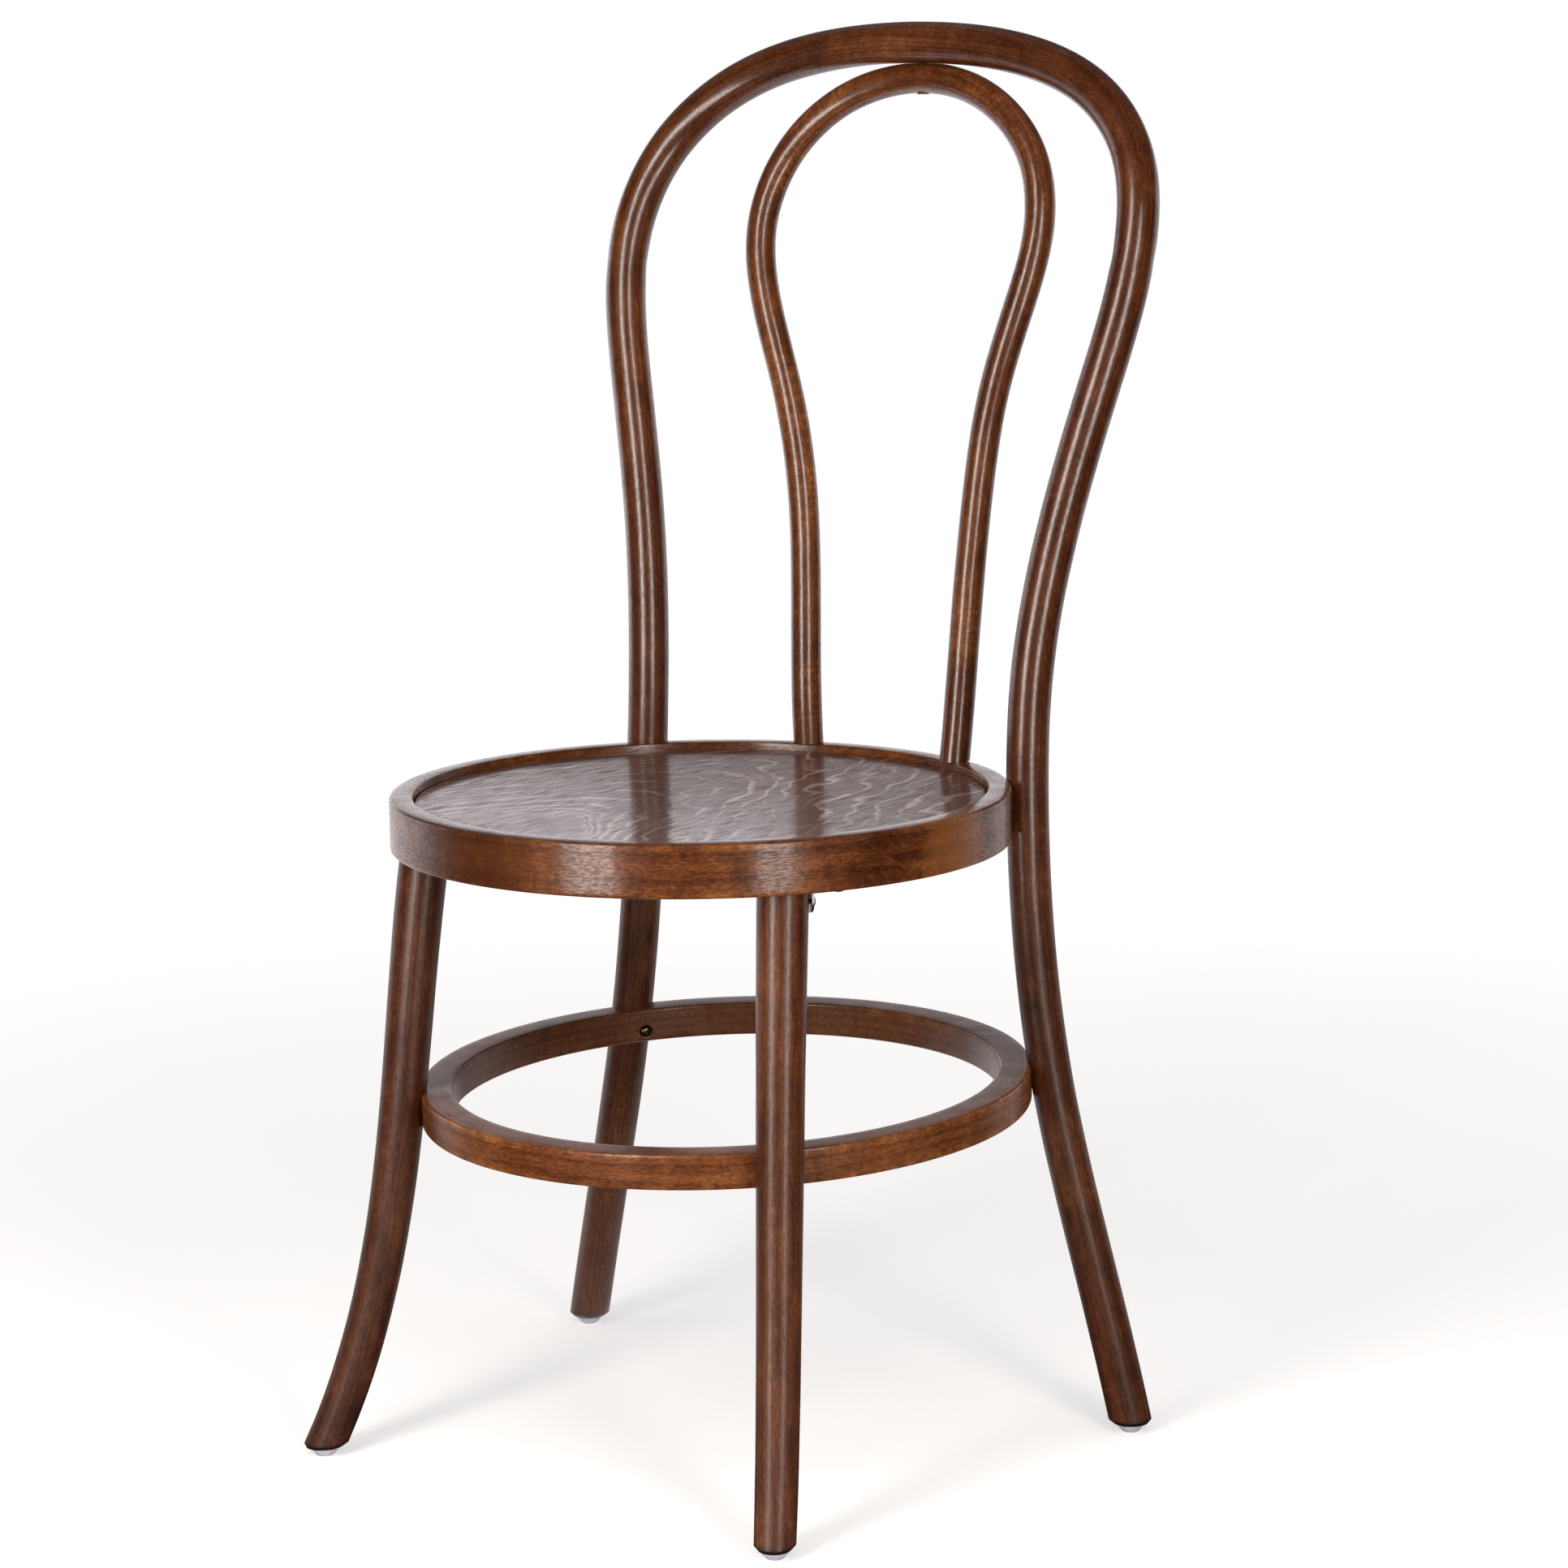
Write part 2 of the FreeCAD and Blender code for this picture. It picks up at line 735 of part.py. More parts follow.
def chair():
    """Every node of the chair by name, set out from the seat's centre."""
    front_leg = frontLeg()
    bracket = cornerBracket()
    front_glide = glide(frontFoot())
    rear_glide = glide(rearFoot())
    return {
        "back_bow": backBow(),
        "inner_hoop": innerHoop(),
        "seat_ring": seatRing(),
        "seat_panel": seatPanel(),
        "front_leg_right": front_leg,
        "front_leg_left": mirrored(front_leg),
        "stretcher_hoop": stretcherHoop(),
        "corner_bracket_right": bracket,
        "corner_bracket_left": mirrored(bracket),
        "glide_front_right": front_glide,
        "glide_front_left": mirrored(front_glide),
        "glide_rear_right": rear_glide,
        "glide_rear_left": mirrored(rear_glide),
        "glide_nails": glideNails(),
        "stretcher_screws": stretcherScrews(),
        "seat_bolts": seatBolts(),
        "seat_bolt_washers": seatBoltWashers(),
        "hoop_foot_screws": hoopFootScrews(),
        "apex_screw": apexScrew(),
        "apex_plug": apexPlug(),
        "bracket_screws": bracketScrews(),
    }


def footprintShift(nodes):
    """Move that brings the footprint's centre to the origin."""
    box = Part.makeCompound(list(nodes.values())).optimalBoundingBox(False, False)
    return Vector(-(box.XMin + box.XMax) / 2, -(box.YMin + box.YMax) / 2, 0)


os.makedirs("parts", exist_ok=True)
nodes = chair()
shift = footprintShift(nodes)
print("shift", round(shift.x, 3), round(shift.y, 3))
for name, shape in nodes.items():
    shape.translate(shift)
    shape.exportStep("parts/" + name + ".step")
    print(name, len(shape.Solids), shape.isValid(), round(shape.Volume / 1000, 2))
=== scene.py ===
import math

import bpy
import numpy as np
from mathutils import Matrix, Vector


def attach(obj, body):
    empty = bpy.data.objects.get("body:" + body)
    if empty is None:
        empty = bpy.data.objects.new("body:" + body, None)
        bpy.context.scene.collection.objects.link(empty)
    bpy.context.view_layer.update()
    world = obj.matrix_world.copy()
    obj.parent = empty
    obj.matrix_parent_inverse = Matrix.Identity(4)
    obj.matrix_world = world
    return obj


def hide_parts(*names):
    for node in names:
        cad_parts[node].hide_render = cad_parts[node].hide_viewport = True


# Bentwood bistro chair: bent rods and bands, a veneered seat panel and the small fittings.
# Metres, front towards -Y, up +Z, floor at z = 0.
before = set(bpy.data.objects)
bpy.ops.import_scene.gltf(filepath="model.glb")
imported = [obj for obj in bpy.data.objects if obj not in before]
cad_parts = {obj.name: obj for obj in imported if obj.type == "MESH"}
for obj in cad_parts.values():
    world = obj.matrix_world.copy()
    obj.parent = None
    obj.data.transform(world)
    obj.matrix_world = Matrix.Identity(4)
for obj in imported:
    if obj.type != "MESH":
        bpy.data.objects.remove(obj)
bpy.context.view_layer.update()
print("frame:", len(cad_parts), "nodes")

# How the seat and the stretcher hoop lie
plan = {
    "forward": -0.035447,  # the seat's centre lies this far in front of the footprint's centre
    "seatHeight": 0.440,
    "seatSlope": 0.55,  # degrees, down to the rear
    "seatRadius": 0.2045,
    "ringHeight": 0.0348,
    "rimWidth": 0.0165,
    "hoopTop": 0.245,
    "hoopSlope": 1.8,  # degrees, up to the rear
    "hoopSetback": 0.020,
    "hoopRadius": 0.204,
    "hoopWidth": 0.021,
    "hoopHeight": 0.023,
    "glideHeight": 0.0059,
    "glueGap": 0.0001,
}
seatTilt = Matrix.Rotation(math.radians(-plan["seatSlope"]), 4, "X")
seatSpace = Matrix.Translation((0, plan["forward"], plan["seatHeight"])) @ seatTilt
hoopTilt = Matrix.Rotation(math.radians(plan["hoopSlope"]), 4, "X")
hoopSpace = Matrix.Translation((0, plan["forward"] + plan["hoopSetback"], plan["hoopTop"])) @ hoopTilt
chairSpace = Matrix.Translation((0, plan["forward"], 0))
seatUp = np.array(seatSpace.to_3x3()).T[2]
footPlane = np.array((0, 0, plan["glideHeight"]))
down = np.array((0, 0, -1.0))


def moved(points, space):
    turn = np.array(space.to_3x3())
    return np.asarray(points, float) @ turn.T + np.array(space.translation)


def movedPoint(point, space):
    return moved([point], space)[0]


def polar(radius, angle, height=0.0):
    turn = math.radians(angle)
    return (radius * math.cos(turn), radius * math.sin(turn), height)


def unit(vectors):
    vectors = np.asarray(vectors, float)
    return vectors / np.linalg.norm(vectors, axis=-1, keepdims=True)


# Curves and meshes
endShares = (0, 0.3, 0.65, 0.97)  # rings of a closed end, from its edge inwards
pastEnd = 0.0004  # the grain runs on this far over an end, so that the stain knows it as end grain

def smoothLine(guides, spacing):
    # even stations on a curve with continuous bend through the guide points: places, tangents, distances
    p = np.array(guides, float)
    t = np.concatenate([[0], np.cumsum(np.linalg.norm(np.diff(p, axis=0), axis=1))])
    h = np.diff(t)
    count = len(p)
    left, right = np.zeros((count, count)), np.zeros((count, 3))
    left[0, 0] = left[-1, -1] = 1
    right[0] = np.polyfit(t[:4] - t[0], p[:4], 3)[2]
    right[-1] = np.polyfit(t[-4:] - t[-1], p[-4:], 3)[2]
    for i in range(1, count - 1):
        left[i, i - 1: i + 2] = 1 / h[i - 1], 2 / h[i - 1] + 2 / h[i], 1 / h[i]
        right[i] = 3 * ((p[i] - p[i - 1]) / h[i - 1] ** 2 + (p[i + 1] - p[i]) / h[i] ** 2)
    slopes = np.linalg.solve(left, right)

    def at(u):
        i = np.clip(np.searchsorted(t, u, "right") - 1, 0, count - 2)
        x = ((u - t[i]) / h[i])[:, None]
        d = h[i][:, None]
        a, b, m, n = p[i], p[i + 1], slopes[i] * d, slopes[i + 1] * d
        place = a * (2 * x**3 - 3 * x**2 + 1) + m * (x**3 - 2 * x**2 + x)
        place = place + b * (3 * x**2 - 2 * x**3) + n * (x**3 - x**2)
        way = (a - b) * (6 * x**2 - 6 * x) + m * (3 * x**2 - 4 * x + 1) + n * (3 * x**2 - 2 * x)
        return place, unit(way)

    fine = np.linspace(0, t[-1], 6000)
    travelled = np.concatenate([[0], np.cumsum(np.linalg.norm(np.diff(at(fine)[0], axis=0), axis=1))])
    stops = np.linspace(0, travelled[-1], int(travelled[-1] / spacing) + 1)
    places, tangents = at(np.interp(stops, travelled, fine))
    return places, tangents, stops


def thinned(line, atStart, atEnd):
    # leaves out stations next to a rod's ends, to make room for the slanting cuts
    keep = np.ones(len(line[2]), bool)
    keep[1:1 + atStart] = False
    keep[len(keep) - 1 - atEnd:-1] = False
    return [part[keep] for part in line]


def unevenness(look, stops, seed):
    # how much sanding has taken off a rod: slow waves, from nothing to the look's depth
    pace = 6.28 / look["wave"]
    waves = [np.sin(stops * pace * (0.6 + 0.37 * k) + seed * (1.3 + k)) for k in range(4)]
    return look["unevenness"] * (0.5 + 0.5 * sum(waves) / 4)


def roundedOutline(corners, steps=5):
    # closed outline from corners given as (x, z, rounding); each point carries how much it wears
    outline = []
    for i, (x, z, rounding) in enumerate(corners):
        here = np.array((x, z))
        back = unit(np.array(corners[i - 1][:2]) - here)
        ahead = unit(np.array(corners[(i + 1) % len(corners)][:2]) - here)
        if rounding == 0:
            outline.append((x, z, 1.0))
            continue
        opening = math.acos(np.clip(back @ ahead, -1, 1))
        reach = rounding / math.tan(opening / 2)
        a, b = here + back * reach, here + ahead * reach
        for f in (k / steps for k in range(steps + 1)):
            outline.append((*((1 - f) ** 2 * a + 2 * f * (1 - f) * here + f * f * b), 1.0))
    return outline


def subdivided(outline, longest):
    # long straight sides get extra points, so that edge wear can fade across them
    made = []
    for i in range(len(outline)):
        a, b = np.array(outline[i]), np.array(outline[(i + 1) % len(outline)])
        parts = max(1, int(math.ceil(np.linalg.norm(b[:2] - a[:2]) / longest)))
        for k in range(parts):
            point = a + (b - a) * k / parts
            if k:
                point[2] = 0.0
            made.append(point)
    return made


def newObject(name, data):
    thing = bpy.data.objects.new(name, data)
    bpy.context.scene.collection.objects.link(thing)
    return thing


def newPiece(name, vertices, faces, material, nodes, grain, edge=None, sharp=40):
    # grain is the wood's own coordinates, for each point or for each corner of each face
    mesh = bpy.data.meshes.new(name)
    mesh.from_pydata([tuple(v) for v in vertices], [], [tuple(f) for f in faces])
    mesh.validate()
    mesh.update()
    mesh.polygons.foreach_set("use_smooth", [True] * len(mesh.polygons))
    mesh.set_sharp_from_angle(angle=math.radians(sharp))
    domain = "POINT" if len(grain) == len(mesh.vertices) else "CORNER"
    layer = mesh.attributes.new("grain", "FLOAT_VECTOR", domain)
    layer.data.foreach_set("vector", np.asarray(grain, np.float32).ravel())
    if edge is not None:
        layer = mesh.attributes.new("edge", "FLOAT", "POINT")
        layer.data.foreach_set("value", np.asarray(edge, np.float32))
    mesh.materials.append(material)
    piece = newObject(name, mesh)
    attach(piece, "root")
    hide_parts(*nodes)


def rodRings(line, radii, sideHint, segments):
    # cross-section rings along a line, with the wood's own coordinates: two across and one along
    side = np.array(sideHint, float)
    turns = np.arange(segments) * 2 * math.pi / segments
    rings, grains = [], []
    for place, tangent, stop, radius in zip(*line, radii):
        side = unit(side - (side @ tangent) * tangent)
        up = np.cross(tangent, side)
        across = np.outer(np.cos(turns), side) + np.outer(np.sin(turns), up)
        rings.append(place + across * radius)
        grain = (np.cos(turns) * radius, np.sin(turns) * radius, np.full(segments, stop))
        grains.append(np.stack(grain, 1))
    return rings, grains


def slideToPlane(ring, tangent, point, normal):
    # moves a ring's points along the rod until they lie in a plane
    reach = ((point - ring) @ normal) / (tangent @ normal)
    return ring + np.outer(reach, tangent)


def cutEnd(rings, grains, tangent, chamfer, first):
    # ends a rod level above its glide: a chamfer, then a closed face with the end grain
    order = 0 if first else -1
    flat = slideToPlane(rings[order], tangent, footPlane, down)
    inward = flat.mean(0) - flat
    radius = np.linalg.norm(inward, axis=1, keepdims=True)
    beyond = np.array([0, 0, -pastEnd if first else pastEnd])
    rings[order] = slideToPlane(rings[order], tangent, footPlane - down * chamfer, down)
    extraRings, extraGrains = [], []
    for share in endShares:
        extraRings.append(flat + inward * np.maximum(share, chamfer / radius))
        extraGrains.append(grains[order] * np.array([1 - share, 1 - share, 1]) + beyond)
    if first:
        rings[:0] = extraRings[::-1]
        grains[:0] = extraGrains[::-1]
    else:
        rings += extraRings
        grains += extraGrains


def skin(rings):
    # joins rings of points to a closed solid
    count = len(rings[0])
    faces = []
    for j in range(len(rings) - 1):
        for k in range(count):
            n = (k + 1) % count
            faces.append((j * count + k, j * count + n, (j + 1) * count + n, (j + 1) * count + k))
    faces.append(tuple(reversed(range(count))))
    last = (len(rings) - 1) * count
    faces.append(tuple(last + k for k in range(count)))
    return faces


def lathe(name, outline, space, turns, material, nodes):
    # turns an outline of (radius, height, edge) about Z; the wood's length runs round
    count = len(outline)
    middle = sum(p[0] for p in outline) / count
    vertices, edge = [], []
    for i in range(turns):
        angle = 2 * math.pi * i / turns
        for r, z, worn in outline:
            vertices.append((r * math.cos(angle), r * math.sin(angle), z))
            edge.append(worn)
    faces, grain = [], []
    for i in range(turns):
        n = (i + 1) % turns
        for k in range(count):
            m = (k + 1) % count
            faces.append((i * count + k, n * count + k, n * count + m, i * count + m))
            for index, column in ((k, i), (k, i + 1), (m, i + 1), (m, i)):
                r, z = outline[index][:2]
                grain.append((r - middle, z, 2 * math.pi * column / turns * middle))
    newPiece(name, moved(vertices, space), faces, material, nodes, grain, edge)


# Material helpers

def put(socket, value):
    if isinstance(value, bpy.types.NodeSocket):
        socket.id_data.links.new(value, socket)
    else:
        socket.default_value = value


def newNode(kind, values):
    # a node joins the tree of the first socket among its values
    return next(v for v in values if isinstance(v, bpy.types.NodeSocket)).id_data.nodes.new(kind)


def fed(node, values):
    # fills a node's sockets in order
    for socket, value in zip(node.inputs, values):
        put(socket, value)
    return node.outputs[0]


def setAll(node, values):
    for name, value in values.items():
        put(node.inputs[name], value)


def calc(operation, *values, clamp=False):
    node = newNode("ShaderNodeMath", values)
    node.operation, node.use_clamp = operation, clamp
    return fed(node, values)


def plus(a, b):
    return calc("ADD", a, b)


def minus(a, b):
    return calc("SUBTRACT", a, b)


def times(a, b):
    return calc("MULTIPLY", a, b)


def over(a, b):
    return calc("DIVIDE", a, b)


def plusShare(base, value, share, clamp=False):
    # base + value * share
    return calc("MULTIPLY_ADD", value, share, base, clamp=clamp)


def centred(value):
    return minus(value, 0.5)


def diagonal(a, b):
    return calc("SQRT", plus(times(a, a), times(b, b)))


def vectorCalc(operation, *values):
    node = newNode("ShaderNodeVectorMath", values)
    node.operation = operation
    fed(node, values)
    return node.outputs["Value" if operation in ("LENGTH", "DOT_PRODUCT") else "Vector"]


def split(vector):
    node = newNode("ShaderNodeSeparateXYZ", [vector])
    fed(node, [vector])
    return node.outputs


def span(value, low, high, outLow=0.0, outHigh=1.0, smooth=True):
    node = newNode("ShaderNodeMapRange", [value])
    node.interpolation_type = "SMOOTHSTEP" if smooth else "LINEAR"
    return fed(node, (value, low, high, outLow, outHigh))


def noise(vector, trait, shift=(0, 0, 0)):
    # one trait of a surface, cut to its limits where it has them
    if "stretch" in trait:
        vector = vectorCalc("MULTIPLY_ADD", vector, trait["stretch"], shift)
    node = newNode("ShaderNodeTexNoise", [vector])
    usual = {"Scale": 1.0, "Detail": 2.0, "Roughness": 0.5, "Distortion": 0.0}
    setAll(node, {name: trait.get(name.lower(), value) for name, value in usual.items()})
    value = fed(node, [vector])
    return span(value, *trait["limits"]) if "limits" in trait else value


def ramp(value, stops):
    node = newNode("ShaderNodeValToRGB", [value])
    elements = node.color_ramp.elements
    while len(elements) < len(stops):
        elements.new(0.5)
    for element, (place, color) in zip(elements, stops):
        element.position, element.color = place, (*color, 1)
    return fed(node, [value])


def blended(factor, a, b):
    node = newNode("ShaderNodeMix", [factor])
    node.data_type = "RGBA"
    fed(node, [factor])
    for socket, value in ((node.inputs[6], a), (node.inputs[7], b)):
        put(socket, value if isinstance(value, bpy.types.NodeSocket) else (*value, 1))
    return node.outputs[2]


def newMaterial(name):
    material = bpy.data.materials.new(name)
    material.use_nodes = True
    return material, material.node_tree, material.node_tree.nodes["Principled BSDF"]


def attribute(tree, name, output):
    node = tree.nodes.new("ShaderNodeAttribute")
    node.attribute_name = name
    return node.outputs[output]


def objectPlace(tree):
    return tree.nodes.new("ShaderNodeTexCoord").outputs["Object"]


def bumped(shader, *layers):
    # layers of (height, distance in metres, strength)
    normal = None
    for height, distance, strength in layers:
        node = newNode("ShaderNodeBump", [height])
        setAll(node, {"Distance": distance, "Strength": strength, "Height": height})
        if normal:
            put(node.inputs["Normal"], normal)
        normal = node.outputs[0]
    setAll(shader, {"Normal": normal, "Coat Normal": normal})


# Stained and lacquered beech
beechTraits = {
    "drift": {"stretch": (30, 30, 6), "detail": 2},
    "pores": {"stretch": (1500, 1500, 110), "detail": 3, "roughness": 0.6, "limits": (0.52, 0.74)},
    "flecks": {"stretch": (420, 1100, 210), "detail": 2, "limits": (0.56, 0.70)},
    "cloud": {"stretch": (15, 15, 11), "detail": 4, "roughness": 0.62},
    "mottle": {"stretch": (70, 70, 52), "detail": 4, "roughness": 0.65},
    "speck": {"stretch": (820, 820, 300), "detail": 2, "limits": (0.34, 0.66)},
    "ripple": {"stretch": (55, 55, 420), "detail": 2, "distortion": 0.8},
    "rippleWhere": {"stretch": (22, 22, 9), "detail": 1, "limits": (0.50, 0.66)},
    "swell": {"stretch": (28, 28, 22), "detail": 1},
    "peel": {"stretch": (520, 520, 190), "detail": 2, "roughness": 0.6},
}
beechFinish = {
    "pithDrift": (0.016, -0.010),
    "lateWood": (0.45, 0.97),  # part of each year's ring where the wood darkens
    "wornWhere": (0.42, 0.62),
    "markEdge": (0.003, 0.45),  # how ragged a mark's edge is, and where it starts to fade
    "endGrainDepth": 0.0025,
    "endGrain": 0.85,
    "endGrainColor": (0.014, 0.008, 0.006),
    "glossCloud": 0.14,
    "glossPores": 0.07,
    "glossWhereThin": 0.16,
    "filmCloud": 0.8,
    "filmPores": -0.25,
    "topSide": (-0.0018, -0.0006),
    "ior": 1.5,
    "coatIor": 1.6,
    "shineTint": (1, 0.93, 0.88, 1),
    "fleckRise": 0.4,
}
beechStain = [
    (0.0, (0.014, 0.003, 0.0007)),
    (0.30, (0.055, 0.0125, 0.0025)),
    (0.52, (0.110, 0.029, 0.0064)),
    (0.76, (0.215, 0.067, 0.0160)),
    (1.0, (0.380, 0.148, 0.044)),
]
rodLook = {
    "seed": 3.0, "tone": 0.50, "pith": (0.021, 0.008), "ringsPerMetre": 330,
    "cloud": 0.46, "mottle": 0.38, "late": 0.12, "pores": 0.16, "flecks": 0.13, "speck": 0.14,
    "streak": 0.42, "streakStretch": (170, 170, 6), "ripple": 0.25, "rippleGlow": 0.05,
    "roughness": 0.28, "coat": 0.86, "coatRoughness": 0.20, "sparkle": 0.7,
    "swell": 0.0005, "relief": 0.00001, "peel": 0.00004,
}


def lateWood(x, y, drift, look):
    # the dark end of each year's ring, counted out from the pith
    pithX, pithY = look["pith"]
    driftX, driftY = beechFinish["pithDrift"]
    start, full = beechFinish["lateWood"]
    sideways = plus(x, plusShare(pithX, drift, driftX))
    upwards = plus(y, plusShare(pithY, drift, driftY))
    year = calc("FRACT", times(diagonal(sideways, upwards), look["ringsPerMetre"]))
    return times(span(year, start, full), span(year, 1.0, full))


def scarfed(wood, scarf):
    # a bent strip is closed by a long slanting lap: the figure breaks there and a glue line shows
    x, y, along = split(wood)
    crossing = plusShare(scarf["start"], (x, y)[scarf["across"]], scarf["slant"])
    ahead = minus(along, crossing)
    before = calc("LESS_THAN", ahead, 0.0)
    joined = (x, y, plusShare(along, before, scarf["length"]))
    line = span(calc("ABSOLUTE", ahead), scarf["width"], scarf["width"] * 0.4)
    return fed(newNode("ShaderNodeCombineXYZ", joined), joined), line


def spotted(color, place, mottle, mark):
    # a darker or lighter mark with a ragged edge
    centre, radius, strength, markColor = mark
    ragged, fade = beechFinish["markEdge"]
    reach = vectorCalc("LENGTH", vectorCalc("SUBTRACT", place, centre))
    inside = span(plusShare(reach, mottle, ragged), radius, radius * fade)
    return blended(times(inside, strength), color, markColor)


def woodMaterial(name, look):
    # growth rings, pores, ray flecks, blotchy stain, ripple figure and worn edges under a lacquer film
    material, tree, shader = newMaterial(name)
    wood = attribute(tree, "grain", "Vector")
    if "scarf" in look:
        wood, glueLine = scarfed(wood, look["scarf"])
    place = objectPlace(tree)
    x, y, along = split(wood)
    seed, finish = look["seed"], beechFinish

    def draw(trait, vector, *shift):
        return noise(vector, beechTraits[trait], shift)

    late = lateWood(x, y, draw("drift", wood, seed, 0, seed * 2), look)
    pores = draw("pores", wood, seed, seed, 0)
    flecks = draw("flecks", wood, 0, seed, 3)
    streakTrait = {"stretch": look["streakStretch"], "detail": 4, "roughness": 0.65}
    streak = centred(noise(wood, streakTrait, (seed, 2, 1)))
    cloud = centred(draw("cloud", place, seed, 5, seed))
    mottleAll = draw("mottle", place, seed, 1, 0)
    mottle = centred(mottleAll)
    speck = centred(draw("speck", wood, seed, 6, 2))
    rippleWhere = draw("rippleWhere", wood, seed * 3, 7, seed)
    ripple = times(centred(draw("ripple", wood, 0, 0, seed)), rippleWhere)

    # colour
    tone = plusShare(look["tone"], cloud, look["cloud"])
    for value, share in (
        (mottle, look["mottle"]), (late, -look["late"]), (pores, -look["pores"]), (flecks, look["flecks"]),
        (streak, look["streak"]), (ripple, look["ripple"]), (speck, look["speck"]),
        (rippleWhere, look["rippleGlow"]),
    ):
        tone = plusShare(tone, value, share)
    if "edgeWear" in look:
        worn = times(attribute(tree, "edge", "Fac"), span(mottleAll, *finish["wornWhere"]))
        tone = plusShare(tone, worn, look["edgeWear"])
    color = ramp(tone, beechStain)
    if "scarf" in look:
        glue = times(glueLine, look["scarf"]["strength"])
        color = blended(glue, color, look["scarf"]["color"])
    for mark in look.get("marks", ()):
        color = spotted(color, place, mottle, mark)
    if "innerShadePainted" in look:  # painted shade: the inner side, which faces in under the seat, is darkened and greyed
        edge, strength, shadeColor = look["innerShadePainted"]
        color = blended(span(x, edge, edge - 0.001, 0.0, strength), color, shadeColor)
    if "length" in look:  # dark end grain at the cut feet
        half = look["length"] / 2
        beyond = minus(calc("ABSOLUTE", minus(along, half)), half)
        inside = span(beyond, -finish["endGrainDepth"], 0.0001, 0.0, finish["endGrain"])
        color = blended(inside, color, finish["endGrainColor"])

    # lacquer: thinner over pores and near the feet, thicker on an upper side
    gloss = plusShare(look["roughness"], cloud, finish["glossCloud"])
    gloss = plusShare(gloss, pores, finish["glossPores"])
    film = plusShare(look["coat"], cloud, look["coat"] * finish["filmCloud"])
    film = plusShare(film, pores, look["coat"] * finish["filmPores"])
    film = plusShare(film, speck, look["coat"] * look["sparkle"])
    film = plusShare(film, mottle, look["coat"] * finish["filmCloud"])
    if "topFilm" in look:
        film = times(film, span(y, *finish["topSide"], 1.0, look["topFilm"]))
    if "dull" in look:
        low, high, least = look["dull"]
        thin = span(split(place)[2], low, high, least, 1.0)
        film = times(film, thin)
        gloss = plusShare(gloss, minus(1.0, thin), finish["glossWhereThin"])
    setAll(shader, {
        "Base Color": color, "Roughness": gloss,
        "IOR": look.get("ior", finish["ior"]), "Specular Tint": finish["shineTint"],
        "Coat Weight": calc("MULTIPLY", film, 1.0, clamp=True),
        "Coat Roughness": look["coatRoughness"], "Coat IOR": finish["coatIor"],
    })

    # relief
    swell = draw("swell", place, 0, seed, 4)
    fine = minus(times(flecks, finish["fleckRise"]), pores)
    peel = draw("peel", wood, seed, 3, 1)
    bumped(shader, (swell, look["swell"], 1.0), (fine, look["relief"], 1.0), (peel, look["peel"], 1.0))
    return material


print("material helpers ready")


# Back bow: one rod from foot to foot
bowLook = {
    "radius": 0.0142,
    "foot": (0.2335, 0.153),
    "bend": (0.208, 0.1486, 0.112),
    "atHoop": (34.5, 0.0008),  # angle round the hoop, depth of the housing
    "atSeat": (42.2, 0.0015),
    "guides": [  # from the seat up
        (0.1615, 0.152, 0.069), (0.1726, 0.1644, 0.1555), (0.1954, 0.1816, 0.2535), (0.210, 0.2055, 0.347),
        (0.1948, 0.228, 0.4027), (0.1529, 0.247, 0.4446), (0.080, 0.2585, 0.4705),
    ],
    "crown": (0.0, 0.2615, 0.477),
    "unevenness": 0.00016,
    "wave": 0.11,
    "pinches": ((0.365, 0.00035, 0.007), (0.642, 0.0003, 0.009)),  # faint, where the bends begin
    "chamfer": 0.0026,
    "segments": 64,
    "spacing": 0.004,
    "wood": dict(rodLook, tone=0.435, cloud=0.58, mottle=0.50, dull=(0.28, 0.56, 0.14), marks=[
        # place, radius, strength, color
        ((0.1758, 0.0940, 0.2893), 0.0034, 0.8, (0.012, 0.004, 0.002)),
    ]),
}


def bowGuides(look):
    hoopAngle, hoopHousing = look["atHoop"]
    seatAngle, seatHousing = look["atSeat"]
    atHoop = polar(plan["hoopRadius"] + look["radius"] - hoopHousing, hoopAngle, -plan["hoopHeight"] / 2)
    atSeat = polar(plan["seatRadius"] + look["radius"] - seatHousing, seatAngle, -plan["ringHeight"] / 2)
    half = [
        *moved([(*look["foot"], plan["glideHeight"]), look["bend"]], chairSpace),
        movedPoint(atHoop, hoopSpace),
        movedPoint(atSeat, seatSpace),
        *moved([(x, y, z + plan["seatHeight"]) for x, y, z in (*look["guides"], look["crown"])], chairSpace),
    ]
    return np.array(half + [p * (-1, 1, 1) for p in reversed(half[:-1])])


def makeBow(look):
    line = thinned(smoothLine(bowGuides(look), look["spacing"]), 2, 2)
    tangents, stops = line[1:]
    radii = look["radius"] - unevenness(look, stops, 1.0)
    for share, depth, width in look["pinches"]:
        radii -= depth * np.exp(-(((stops - stops[-1] * share) / width) ** 2))
    rings, grains = rodRings(line, radii, (0, 1, 0), look["segments"])
    cutEnd(rings, grains, tangents[0], look["chamfer"], True)
    cutEnd(rings, grains, tangents[-1], look["chamfer"], False)
    wood = woodMaterial("bowLacquer", dict(look["wood"], length=stops[-1]))
    points, grain = np.concatenate(rings), np.concatenate(grains)
    newPiece("backBow", points, skin(rings), wood, ["back_bow"], grain)


makeBow(bowLook)
print("back bow made")

